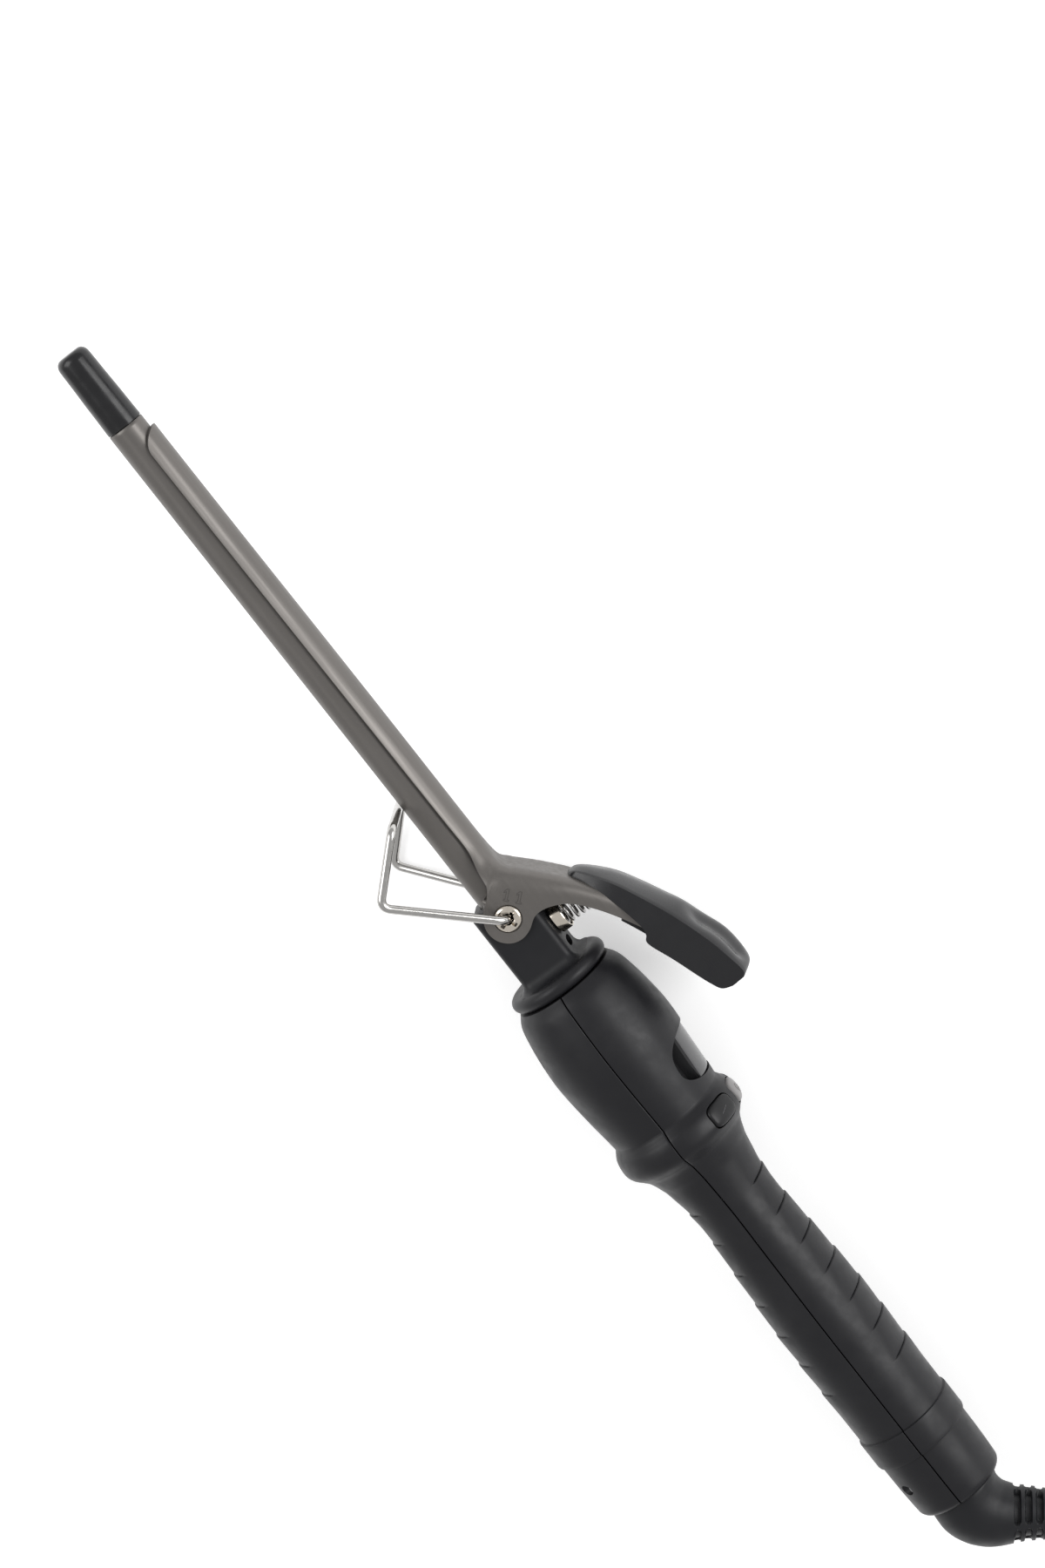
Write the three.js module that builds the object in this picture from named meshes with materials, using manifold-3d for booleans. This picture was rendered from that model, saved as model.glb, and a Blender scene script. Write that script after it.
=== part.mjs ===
// Hair curling iron with a spring clamp, a wire stand and a swivelling mains lead.
// It lies on its side. Within the model x runs along the iron from the cool tip to the lead,
// y points to the side with the thumb lever, and z is across the hinge, up from the table.
import * as THREE from 'three';
import { mergeVertices } from 'three/addons/utils/BufferGeometryUtils.js';
import Module from 'manifold-3d';

const wasm = await Module();
wasm.setup();

// ---------------------------------------------------------------- driving dimensions (mm)
const GAP = 0.3; // between pieces that touch or turn on each other

const BARREL_R = 5.5; // an 11 mm barrel
const BARREL_WALL = 0.9;
const TIP_START = -2.5;
const BARREL_START = 22.6;
const BARREL_END = 214;

const HINGE_X = 196.4; // the clamp and the stand turn about one line across the iron
const HINGE_Y = 1.0;

const NECK_START = 191.3;
const NECK_HALF_WIDTH = 8.6;
const NECK_TOP = 8.9;
const NECK_BOTTOM = -7.9;
const NECK_TANG_R = 8.4;
const NECK_END = 233;

const RING_START = 217.8;
const RING_THICKNESS = 4.6;
const RING_R = 15.9;

const HANDLE_START = RING_START + RING_THICKNESS + GAP;
const HANDLE_END = 413.6;
const HANDLE_WALL = 2.2;
const BAND_START = 384.5;
const BAND_END = 393.8;
const GRIP_R = 14.75;

const SHEET = 1.2; // clamp sheet metal
const BLADE_START = 26.7;
const BLADE_R = BARREL_R + 0.4 + SHEET;
const BLADE_HALF_ANGLE = THREE.MathUtils.degToRad(70);
const EAR_INSIDE = NECK_HALF_WIDTH + GAP;
const EAR_OUTSIDE = EAR_INSIDE + SHEET;
const EAR_LOBE_R = 7.1;
const THUMB_HALF_WIDTH = 8.9;

const SCREW_HEAD_R = 3.8;
const SCREW_SHANK_R = 2.3;
const SCREW_HEAD_TOP = EAR_OUTSIDE + 1.0;

const WIRE_R = 1.3;
const STAND_CORNER = [170.4, -23.1, 21.8];
const STAND_BEND = 3.2;
const STAND_BAR_X = 154.2;
const STAND_BAR_Z = 19;

const DISPLAY_X = 259.3;
const DISPLAY_HALF_LENGTH = 7.7;
const CONTROL_X = 276.9;
const CONTROL_ANGLE = THREE.MathUtils.degToRad(36.8);

const SWIVEL_FLANGE_R = 11.3;
const SWIVEL_NECK_R = 9.6;
const SPIGOT_R = 4;
const ELBOW_R = 11.3;
const ELBOW_START = HANDLE_END + GAP;
const ARM_START = [424, -0.8];
const ARM_ANGLE = THREE.MathUtils.degToRad(54);
const ARM_LENGTH = 44;

// ---------------------------------------------------------------- solids
/** A geometry as one closed, outward-facing solid. */
function solid(geometry) {
  geometry.deleteAttribute('normal');
  geometry.deleteAttribute('uv');
  const merged = mergeVertices(geometry, 1e-4);
  const at = merged.attributes.position;
  const corners = [];
  let volume = 0;
  const [a, b, c] = [new THREE.Vector3(), new THREE.Vector3(), new THREE.Vector3()];
  for (let i = 0; i < merged.index.count; i += 3) {
    const tri = [0, 1, 2].map((k) => merged.index.getX(i + k));
    if (new Set(tri).size < 3) continue;
    corners.push(tri);
    a.fromBufferAttribute(at, tri[0]);
    b.fromBufferAttribute(at, tri[1]);
    c.fromBufferAttribute(at, tri[2]);
    volume += a.dot(b.cross(c));
  }
  const triVerts = corners.flatMap((t) => (volume < 0 ? [t[0], t[2], t[1]] : t));
  return new wasm.Manifold(new wasm.Mesh({
    numProp: 3,
    vertProperties: new Float32Array(at.array),
    triVerts: new Uint32Array(triVerts),
  }));
}

/** A solid back as a three.js geometry. */
function geometryOf(body) {
  const mesh = body.getMesh();
  const geometry = new THREE.BufferGeometry();
  geometry.setAttribute('position', new THREE.BufferAttribute(mesh.vertProperties, 3));
  geometry.setIndex(new THREE.BufferAttribute(mesh.triVerts, 1));
  return geometry;
}

const joined = (...bodies) => bodies.reduce((all, body) => all.add(body));

function block([x0, x1], [y0, y1], [z0, z1]) {
  const box = new THREE.BoxGeometry(x1 - x0, y1 - y0, z1 - z0);
  return solid(box.translate((x0 + x1) / 2, (y0 + y1) / 2, (z0 + z1) / 2));
}

/** A turned piece about the x axis from [x, radius] points, open profiles ending on the axis. */
function turned(profile, segments = 32) {
  const points = profile.map(([x, r]) => new THREE.Vector2(r, x));
  return solid(new THREE.LatheGeometry(points, segments).rotateZ(-Math.PI / 2));
}

/** A turned ring: the outline is closed back to its first point. */
const turnedRing = (profile, segments) => turned([...profile, profile[0]], segments);

const rod = (x0, x1, r, segments) => turned([[x0, 0], [x0, r], [x1, r], [x1, 0]], segments);

const tube = (x0, x1, r, bore, segments) =>
  turnedRing([[x0, bore], [x0, r], [x1, r], [x1, bore]], segments);

function rodAlongZ(x, y, r, z0, z1, segments = 24) {
  const cylinder = new THREE.CylinderGeometry(r, r, z1 - z0, segments).rotateX(Math.PI / 2);
  return solid(cylinder.translate(x, y, (z0 + z1) / 2));
}

function rodAlongY(x, z, r, y0, y1, segments = 16) {
  return solid(new THREE.CylinderGeometry(r, r, y1 - y0, segments).translate(x, (y0 + y1) / 2, z));
}

/** A side outline (x, y) given depth across the iron. */
function fromSide(shape, z0, z1, curveSegments = 8) {
  const settings = { depth: z1 - z0, bevelEnabled: false, curveSegments };
  return solid(new THREE.ExtrudeGeometry(shape, settings).translate(0, 0, z0));
}

/** A plan outline (x, z) given height from y0 to y1. */
function fromPlan(shape, y0, y1, curveSegments = 8) {
  const settings = { depth: y1 - y0, bevelEnabled: false, curveSegments };
  const geometry = new THREE.ExtrudeGeometry(shape, settings);
  return solid(geometry.rotateX(Math.PI / 2).translate(0, y1, 0));
}

const polygon = (points) => new THREE.Shape(points.map(([x, y]) => new THREE.Vector2(x, y)));

function roundSection(r, sides) {
  const section = [];
  for (let i = 0; i < sides; i += 1) {
    const angle = (2 * Math.PI * i) / sides;
    section.push([r * Math.cos(angle), r * Math.sin(angle)]);
  }
  return polygon(section);
}

/** A round wire, lead or spring along a curve. */
function swept(curve, r, sides, steps) {
  return solid(new THREE.ExtrudeGeometry(roundSection(r, sides), {
    extrudePath: curve, steps, bevelEnabled: false,
  }));
}

const smooth = (points) =>
  new THREE.CatmullRomCurve3(points.map((p) => new THREE.Vector3(...p)), false, 'centripetal');

/** Straight lengths of wire joined by bends that start `bend` away from each corner. */
function bentWire(corners, bend) {
  const at = corners.map((p) => new THREE.Vector3(...p));
  const path = new THREE.CurvePath();
  let from = at[0];
  for (let i = 1; i < at.length - 1; i += 1) {
    const before = at[i].clone().lerp(at[i - 1], bend / at[i].distanceTo(at[i - 1]));
    const after = at[i].clone().lerp(at[i + 1], bend / at[i].distanceTo(at[i + 1]));
    path.add(new THREE.LineCurve3(from, before));
    path.add(new THREE.QuadraticBezierCurve3(before, at[i], after));
    from = after;
  }
  path.add(new THREE.LineCurve3(from, at[at.length - 1]));
  return path;
}

// ---------------------------------------------------------------- materials
const material = (color, roughness, metalness = 0) =>
  new THREE.MeshStandardMaterial({ color, roughness, metalness });

const grip = () => material(0x2b2b2d, 0.6);
const gloss = () => material(0x1b1b1c, 0.35);
const coated = () => material(0x6f6b67, 0.38, 0.8);
const nickel = () => material(0xcfc4b4, 0.25, 1);
const chrome = () => material(0xc8c8c8, 0.15, 1);
const copper = () => material(0xb87333, 0.35, 1);
const brass = () => material(0xc9a64a, 0.3, 1);
const softBlack = () => material(0x232324, 0.7);
const lightGrey = () => material(0xa39c98, 0.45);
const boardGreen = () => material(0x1f5a35, 0.6);
const ceramic = () => material(0xe6e2d8, 0.7);
const aluminium = () => material(0xb9bcc0, 0.4, 1);
const glassBlack = () => material(0x4a4a4d, 0.1);

const iron = new THREE.Group();

function place(name, body, look) {
  const mesh = new THREE.Mesh(geometryOf(body), look);
  mesh.name = name;
  iron.add(mesh);
}

// ---------------------------------------------------------------- tip, barrel and heater
function coolTip() {
  const spigotR = BARREL_R - BARREL_WALL - GAP;
  const joint = BARREL_START - GAP;
  return turned([
    [TIP_START, 0], [TIP_START, 3], [TIP_START + 0.5, 4.1], [TIP_START + 1.4, 4.8],
    [TIP_START + 2.8, 5.1],
    [joint, BARREL_R], [joint, spigotR], [joint + 8, spigotR], [joint + 8, 0],
  ]);
}

function heater() {
  const [start, end] = [38, 170];
  const coreR = BARREL_R - BARREL_WALL - GAP;
  const slab = 1.2;
  const core = rod(start, end, coreR, 24);
  const wide = [-10, 10];
  const far = [start - 1, end + 1];
  place('heat_spreader_upper', core.intersect(block(far, [slab + GAP, 10], wide)), aluminium());
  place('heat_spreader_lower', core.intersect(block(far, [-10, -slab - GAP], wide)), aluminium());
  place('heater_ceramic', block([start, end], [-slab, slab], [-3, 3]), ceramic());
  place('temperature_sensor', rod(32.5, start - GAP, 1.4, 12), ceramic());
  place('heater_sleeve', tube(end + GAP, BARREL_END - 2, coreR, 3.3, 24), ceramic());
}

// ---------------------------------------------------------------- neck, ring and handle
function neckBlock() {
  const round = 2;
  const [top, bottom, side] = [NECK_TOP, NECK_BOTTOM, NECK_HALF_WIDTH];
  const section = new THREE.Shape();
  section.absarc(side - round, top - round, round, 0, Math.PI / 2);
  section.absarc(round - side, top - round, round, Math.PI / 2, Math.PI);
  section.absarc(round - side, bottom + round, round, Math.PI, 1.5 * Math.PI);
  section.absarc(side - round, bottom + round, round, 1.5 * Math.PI, 2 * Math.PI);
  const length = RING_START - GAP - NECK_START;
  const geometry = new THREE.ExtrudeGeometry(section, {
    depth: length, bevelEnabled: false, curveSegments: 4,
  });
  const blockPart = solid(geometry.rotateY(Math.PI / 2).translate(NECK_START, 0, 0));
  const screwHole = SCREW_SHANK_R + GAP;
  return joined(blockPart, rod(NECK_START + 12, NECK_END, NECK_TANG_R))
    .subtract(rod(NECK_START - 1, BARREL_END + GAP, BARREL_R + GAP))
    .subtract(rod(NECK_START, NECK_END + 1, 3))
    .subtract(rodAlongZ(HINGE_X, HINGE_Y, screwHole, -20, -BARREL_R - 0.6))
    .subtract(rodAlongZ(HINGE_X, HINGE_Y, screwHole, BARREL_R + 0.6, 20));
}

function ringProfile() {
  const rim = RING_THICKNESS / 2;
  const outline = [[RING_START, NECK_TANG_R + GAP]];
  for (let i = 0; i <= 6; i += 1) {
    const angle = (Math.PI * i) / 6;
    outline.push([RING_START + rim - rim * Math.cos(angle), RING_R - rim + rim * Math.sin(angle)]);
  }
  const back = RING_START + RING_THICKNESS;
  return [...outline, [back, 12], [back + 3, 12], [back + 3, NECK_TANG_R + GAP]];
}

/** The handle's outside as [x, radius] from the ring to the swivel. */
function handleOutline() {
  const belly = new THREE.SplineCurve([
    [HANDLE_START, 15.4], [226, 17.45], [231, 18.6], [237, 19.45], [246, 20.05], [258, 19.3],
    [268, 18.2],
  ].map(([x, r]) => new THREE.Vector2(x, r)));
  const grip = new THREE.SplineCurve([
    [268, 18.2], [271, 18.2], [273.8, 19.8], [278.5, 20.4], [281, 19.3], [284.2, 16.5],
    [292, 13.9], [304, 12.55], [320, 13.4], [332, 14.1], [345, GRIP_R], [365, GRIP_R + 0.1],
    [BAND_START, GRIP_R],
  ].map(([x, r]) => new THREE.Vector2(x, r)));
  const band = 0.6;
  return [
    ...belly.getPoints(8).map((p) => [p.x, p.y]),
    ...grip.getPoints(18).slice(1).map((p) => [p.x, p.y]),
    [BAND_START + 0.1, GRIP_R + band], [BAND_END, GRIP_R + band], [BAND_END + 0.1, GRIP_R - 0.1],
    [404, 14.45], [HANDLE_END - 3.8, 14.1], [HANDLE_END - 1.3, 13.5], [HANDLE_END, 11.9],
  ];
}

function handleShell() {
  const outside = handleOutline();
  const start = [HANDLE_START, 0];
  const outer = turned([start, ...outside, [HANDLE_END, 0]], 32);
  const inside = outside
    .filter(([x], i) => i % 2 === 0 && x > HANDLE_START + 2 && x < HANDLE_END - 3.4)
    .map(([x, r]) => [x, Math.min(r, GRIP_R < r && x > BAND_START ? GRIP_R : r) - HANDLE_WALL]);
  const [first, last] = [inside[0], inside[inside.length - 1]];
  const hollow = turned([
    [HANDLE_START + 2, 0], [HANDLE_START + 2, first[1]], ...inside,
    [HANDLE_END - 3.3, last[1]], [HANDLE_END - 3.3, 0],
  ], 24);
  return { outer, hollow };
}

const SHELL_SCREWS = [
  { name: 'front_screw', x: 237.5, z: 5.2, wall: 18.8 },
  { name: 'tail_screw', x: 402.3, z: 9, wall: 11.2 },
];

/** The plan outline of the display's opening, rounder at its sides than an ellipse. */
function displayOutline(inset) {
  const outline = [];
  const steps = 24;
  const square = 2 / 2.8;
  for (let i = 0; i < steps; i += 1) {
    const angle = (2 * Math.PI * i) / steps;
    const [c, s] = [Math.cos(angle), Math.sin(angle)];
    outline.push([
      DISPLAY_X + Math.sign(c) * Math.abs(c) ** square * (DISPLAY_HALF_LENGTH + 0.1 - inset),
      Math.sign(s) * Math.abs(s) ** square * (13.8 - inset),
    ]);
  }
  return polygon(outline);
}

/** A button's column, pointing away from the axis at `angle` from the lever side. */
function buttonColumn(angle, halfLength, halfWidth, r0, r1, grow) {
  const round = Math.min(halfLength, halfWidth) * 0.85;
  const [a, b] = [halfLength + grow, halfWidth + grow];
  const section = new THREE.Shape();
  section.absarc(a - round, b - round, round, 0, Math.PI / 2);
  section.absarc(round - a, b - round, round, Math.PI / 2, Math.PI);
  section.absarc(round - a, round - b, round, Math.PI, 1.5 * Math.PI);
  section.absarc(a - round, round - b, round, 1.5 * Math.PI, 2 * Math.PI);
  const geometry = new THREE.ExtrudeGeometry(section, {
    depth: r1 - r0, bevelEnabled: false, curveSegments: 4,
  });
  geometry.translate(0, 0, r0).rotateX(-Math.PI / 2).rotateX(angle);
  return solid(geometry.translate(CONTROL_X, 0, 0));
}

const BUTTONS = [
  { name: 'power', angle: 0, halfLength: 3.4, halfWidth: 4.4, look: lightGrey },
  { name: 'plus', angle: -CONTROL_ANGLE, halfLength: 3.4, halfWidth: 5.2, look: gloss },
  { name: 'minus', angle: CONTROL_ANGLE, halfLength: 3.4, halfWidth: 5.2, look: gloss },
];

function handle() {
  const { outer, hollow } = handleShell();
  const wide = [-30, 30];
  const long = [HANDLE_START - 1, HANDLE_END + 1];
  const frontHole = rod(HANDLE_START - 1, HANDLE_START + 4, 12 + GAP);
  const backHole = rod(HANDLE_END - 5, HANDLE_END + 1, SWIVEL_NECK_R + GAP);
  let upper = outer.intersect(block(long, [GAP / 2, 30], wide));
  let lower = outer.intersect(block(long, [-30, -GAP / 2], wide));
  upper = upper.subtract(hollow).subtract(frontHole).subtract(backHole);
  lower = lower.subtract(hollow).subtract(frontHole).subtract(backHole);
  for (const screw of SHELL_SCREWS) {
    for (const side of [-1, 1]) {
      const z = side * screw.z;
      const post = (y0, y1) => rodAlongY(screw.x, z, 2.6, y0, y1, 12).intersect(outer);
      upper = joined(upper, post(GAP / 2, screw.wall + 3)).subtract(
        rodAlongY(screw.x, z, 0.9 + GAP, -1, 7, 12));
      lower = joined(lower, post(-screw.wall - 3, -GAP / 2)).subtract(
        rodAlongY(screw.x, z, 0.9 + GAP, -20, 1, 12)).subtract(
        rodAlongY(screw.x, z, 1.8, -20, 2.5 + GAP - screw.wall, 12));
      place(`${screw.name}_${side > 0 ? 'left' : 'right'}`, joined(
        rodAlongY(screw.x, z, 1.45, 1 - screw.wall, 2.5 - screw.wall, 12),
        rodAlongY(screw.x, z, 0.9, 2.4 - screw.wall, 6, 12)), nickel());
    }
  }
  upper = upper.subtract(fromPlan(displayOutline(0), 11, 25));
  for (const b of BUTTONS) {
    upper = upper.subtract(buttonColumn(b.angle, b.halfLength, b.halfWidth, 12, 25, GAP));
  }
  place('upper_shell', upper, grip());
  place('lower_shell', lower, grip());
  return outer;
}

// ---------------------------------------------------------------- display and buttons
function display() {
  const [x0, x1] = [DISPLAY_X - DISPLAY_HALF_LENGTH + 0.6, DISPLAY_X + DISPLAY_HALF_LENGTH - 0.6];
  const half = 7.7;
  const [frontR, backR, thickness] = [19.1, 18.2, 0.7];
  const bed = thickness + GAP;
  const tray = fromPlan(displayOutline(GAP), 11.3, 12.5);
  const crown = turned([[x0, 0], [x0, frontR - bed], [x1, backR - bed], [x1, 0]], 72);
  const cover = turnedRing([
    [x0, frontR - thickness], [x0, frontR], [x1, backR], [x1, backR - thickness],
  ], 72);
  const above = block([x0, x1], [11.6, 25], [-half, half]);
  place('display_frame', joined(tray, crown.intersect(above)), gloss());
  place('display_window', cover.intersect(above), glassBlack());
  place('display_module', block([x0 - 0.5, x1 + 0.5], [4.1, 11], [-7.2, 7.2]), gloss());
}

function controls() {
  const proud = 0.45;
  const cover = turned([
    [262, 0], ...handleOutline().filter(([x]) => x > 266 && x < 290).map(([x, r]) => [x, r + proud]),
    [292, 0],
  ], 48);
  for (const b of BUTTONS) {
    const column = buttonColumn(b.angle, b.halfLength, b.halfWidth, 16.2, 25, 0);
    place(`${b.name}_button`, column.intersect(cover), b.look());
    const [from, to] = b.angle === 0 ? [7.8, 14.6] : [11, 14.6];
    place(`${b.name}_switch`, buttonColumn(b.angle, 1.5, 1.5, from, to, 0), gloss());
  }
  place('control_board', block([271, 283], [5.9, 7.4], [-9, 9]), boardGreen());
  place('circuit_board', block([241, 296], [2.2, 3.8], [-8.5, 8.5]), boardGreen());
  place('thermal_fuse', rod(239, 249, 1.9, 12).translate([0, -3.4, 0]), nickel());
}

// ---------------------------------------------------------------- clamp
/** Side outline of the folded lever: hinge lobe, lower edge, free end, top and nose. */
function leverSide() {
  const side = new THREE.Shape();
  side.moveTo(171, 1.6);
  side.quadraticCurveTo(184.5, 2.8, 189.7, -1.2);
  side.absarc(HINGE_X, HINGE_Y, EAR_LOBE_R, Math.PI * 1.12, Math.PI * 2.14, false);
  side.quadraticCurveTo(199.2, 6.6, 200.1, 11);
  side.quadraticCurveTo(202, 18.5, 211, 23.5);
  side.lineTo(222.6, 30);
  side.lineTo(239, 36.5);
  side.lineTo(241, 39.6);
  side.quadraticCurveTo(222, 36.2, 206.5, 26.9);
  side.quadraticCurveTo(198, 21.2, 188.8, 12.1);
  side.quadraticCurveTo(184.4, 7.4, 178, BLADE_R);
  side.lineTo(171, BLADE_R);
  return side;
}

/** Plan outline of the lever, narrow where it leaves the blade and under the thumb. */
function leverPlan(inset, reach) {
  const half = [
    [171 - reach, 6.2], [176, 6.9], [188, EAR_OUTSIDE], [202, EAR_OUTSIDE], [214, 8.5],
    [222, 7.6], [241 - inset, 7.4], [241 - inset + reach, 7.4],
  ].map(([x, z]) => [x, z - inset]);
  return polygon([...half, ...half.slice().reverse().map(([x, z]) => [x, -z])]);
}

function bladeSolid() {
  const nose = 6.5;
  const shell = tube(BLADE_START, 178, BLADE_R, BLADE_R - SHEET, 48);
  const span = Math.sin(BLADE_HALF_ANGLE) * BLADE_R;
  const floor = Math.cos(BLADE_HALF_ANGLE) * BLADE_R;
  const keep = new THREE.Shape();
  keep.moveTo(BLADE_START, 0);
  keep.absellipse(BLADE_START + nose, 0, nose, span + 0.4, Math.PI, 1.5 * Math.PI);
  keep.lineTo(180, -span - 0.4);
  keep.lineTo(180, span + 0.4);
  keep.absellipse(BLADE_START + nose, 0, nose, span + 0.4, Math.PI / 2, Math.PI);
  return shell.intersect(fromPlan(keep, floor, 10, 10));
}

function clampPlate() {
  const side = leverSide();
  const whole = fromSide(side, -EAR_OUTSIDE, EAR_OUTSIDE, 10)
    .intersect(fromPlan(leverPlan(0, 0), -20, 60));
  const below = fromSide(side, -EAR_OUTSIDE, EAR_OUTSIDE, 10).translate([0.35, -SHEET * 1.25, 0]);
  const under = fromSide(polygon([
    [160, -20], [250, -20], [250, 34], [239, 36], [222, 29], [205, 16], [200, 10], [190, 8],
    [184, 4.6], [178, BLADE_R - SHEET], [160, BLADE_R - SHEET],
  ]), -EAR_OUTSIDE, EAR_OUTSIDE);
  const cavity = joined(below, under).intersect(fromPlan(leverPlan(SHEET, 5), -30, 60));
  const barrelRoom = rod(160, 215, BLADE_R - SHEET, 48);
  const hole = (z0, z1) => rodAlongZ(HINGE_X, HINGE_Y, SCREW_SHANK_R + GAP, z0, z1);
  const sink = (z0, z1) => rodAlongZ(HINGE_X, HINGE_Y, SCREW_HEAD_R + GAP, z0, z1, 32);
  const cut = SHEET * 0.5;
  return joined(whole.subtract(cavity).subtract(barrelRoom), bladeSolid())
    .subtract(hole(-20, 20))
    .subtract(sink(EAR_OUTSIDE - cut, 20))
    .subtract(sink(-20, cut - EAR_OUTSIDE));
}

function thumbRestSide() {
  const side = new THREE.Shape();
  side.moveTo(197, 20.6);
  side.quadraticCurveTo(197.2, 23.4, 199.4, 25.4);
  side.quadraticCurveTo(216, 39.2, 236.5, 47.2);
  side.quadraticCurveTo(245, 48.4, 249.6, 44.6);
  side.lineTo(250.2, 40);
  side.lineTo(248.6, 36.2);
  side.lineTo(244.3, 34.3);
  side.lineTo(225.8, 27.8);
  side.lineTo(223.6, 29.2);
  side.quadraticCurveTo(209, 27.6, 197, 20.6);
  return side;
}

function clamp() {
  const plate = clampPlate();
  place('clamp_plate', plate, coated());
  const room = fromSide(leverSide(), -20, 20, 10)
    .intersect(fromPlan(leverPlan(-GAP, 3), -20, 60));
  const lift = room.translate([-0.1, GAP + 0.05, 0]);
  const drop = room.translate([0, -4, 0]);
  const inside = fromPlan(leverPlan(-GAP, 3), -20, 60)
    .intersect(fromSide(polygon([[190, 0], [244, 30], [241.4, 38], [222, 34], [190, 15]]), -20, 20));
  const nose = [[196, 2], [198, 4.2], [201, 5.7], [206, 7.2], [213, THUMB_HALF_WIDTH]];
  const half = [...nose, [252, THUMB_HALF_WIDTH]];
  const plan = polygon([...half, ...half.slice().reverse().map(([x, z]) => [x, -z])]);
  const cover = fromSide(thumbRestSide(), -THUMB_HALF_WIDTH, THUMB_HALF_WIDTH, 12)
    .intersect(fromPlan(plan, 0, 60));
  place('thumb_rest', cover.subtract(joined(room, lift, drop, inside)), softBlack());
  const clip = polygon([[217, 25.6], [238, 34.2], [237, 36.4], [216.2, 28]]);
  place('thumb_rest_clip', fromSide(clip, -5.8, 5.8), gloss());
}

/** A hollow pivot screw: the clamp turns on its shoulder, the stand's wire turns in its bore. */
function pivotScrew(side) {
  const under = EAR_OUTSIDE - SHEET * 0.5 + GAP;
  const dome = new THREE.LatheGeometry([
    [0, under], [SCREW_HEAD_R, under], [SCREW_HEAD_R, SCREW_HEAD_TOP - 0.6],
    [SCREW_HEAD_R * 0.8, SCREW_HEAD_TOP - 0.15], [0, SCREW_HEAD_TOP],
  ].map(([r, z]) => new THREE.Vector2(r, z)), 32).rotateX(Math.PI / 2);
  let screw = joined(
    solid(dome.translate(HINGE_X, HINGE_Y, 0)),
    rodAlongZ(HINGE_X, HINGE_Y, SCREW_SHANK_R, BARREL_R + 0.9, under + 0.1));
  const slot = (angle) => solid(new THREE.BoxGeometry(5, 1.1, 4).rotateZ(angle)
    .translate(HINGE_X, HINGE_Y, SCREW_HEAD_TOP + 1.1));
  screw = screw
    .subtract(rodAlongZ(HINGE_X, HINGE_Y, WIRE_R + GAP, BARREL_R + 1.6, 20))
    .subtract(rodAlongZ(HINGE_X, HINGE_Y, WIRE_R + 3 * GAP, SCREW_HEAD_TOP - 1.2, 20))
    .subtract(slot(Math.PI / 4))
    .subtract(slot(-Math.PI / 4));
  return side > 0 ? screw : screw.mirror([0, 0, 1]);
}

function springAndSeat() {
  const [x, seat] = [206, NECK_TOP + GAP];
  const cup = rodAlongY(x, 0, 4.9, seat, seat + 3.6, 24)
    .subtract(rodAlongY(x, 0, 4.3, seat + 0.8, seat + 5, 24));
  place('spring_seat', cup, nickel());
  const [turns, coilR, wire] = [6, 3.5, 0.45];
  const [low, high] = [seat + 0.8 + wire + GAP, 21.4];
  const helix = [];
  for (let i = 0; i <= turns * 8; i += 1) {
    const angle = (2 * Math.PI * i) / 8;
    const y = low + ((high - low) * i) / (turns * 8);
    helix.push([x + coilR * Math.cos(angle), y, coilR * Math.sin(angle)]);
  }
  place('clamp_spring', swept(smooth(helix), wire, 5, turns * 9), nickel());
}

// ---------------------------------------------------------------- wire stand
function standWire() {
  const [cx, cy, cz] = STAND_CORNER;
  const barY = -BARREL_R - GAP - WIRE_R;
  const legZ = SCREW_HEAD_TOP + GAP + WIRE_R;
  const half = [
    [HINGE_X, HINGE_Y, BARREL_R + 2.2], [HINGE_X, HINGE_Y, legZ], [cx, cy, cz],
    [STAND_BAR_X, barY, STAND_BAR_Z],
  ];
  const route = [...half, ...half.slice().reverse().map(([x, y, z]) => [x, y, -z])];
  return swept(bentWire(route, STAND_BEND), WIRE_R, 8, 60);
}

// ---------------------------------------------------------------- swivel and lead
function swivel() {
  const flangeEnd = HANDLE_END - 3.3 - GAP;
  const flangeStart = flangeEnd - 3;
  place('swivel_hub', turned([
    [386, 0], [386, SPIGOT_R], [flangeStart, SPIGOT_R], [flangeStart, SWIVEL_FLANGE_R],
    [flangeEnd, SWIVEL_FLANGE_R], [flangeEnd, SWIVEL_NECK_R], [ELBOW_START - GAP, SWIVEL_NECK_R],
    [ELBOW_START - GAP, 0],
  ]), gloss());
  place('swivel_washer', tube(flangeStart - GAP - 1.2, flangeStart - GAP, 11.5, SPIGOT_R + GAP),
    nickel());
  ['live', 'neutral'].forEach((pole, i) => {
    const x = 388 + 6 * i;
    const ringR = SPIGOT_R + GAP + 0.9;
    place(`slip_ring_${pole}`, tube(x, x + 3, ringR, SPIGOT_R + GAP, 24), brass());
    place(`brush_${pole}`, block([x + 0.4, x + 2.6], [-ringR - GAP - 3, -ringR - GAP], [-1.2, 1.2]),
      copper());
    const z = i === 0 ? 1.7 : -1.7;
    const lead = [[x + 1.5, -9.4, z * 0.4], [x - 8, -8.6, z * 1.5], [350, -4, z * 2], [300, -1.2, z * 2],
      [262, -1.2, z * 2]];
    place(`supply_lead_${pole}`, swept(smooth(lead), 0.7, 6, 24), copper());
    const hot = [[172, 0, z], [215, 0, z * 0.8], [241, -0.2, z * 0.8], [248, 0.6, z * 2.6]];
    place(`heater_lead_${pole}`, swept(smooth(hot), 0.6, 6, 16), copper());
  });
}

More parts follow.
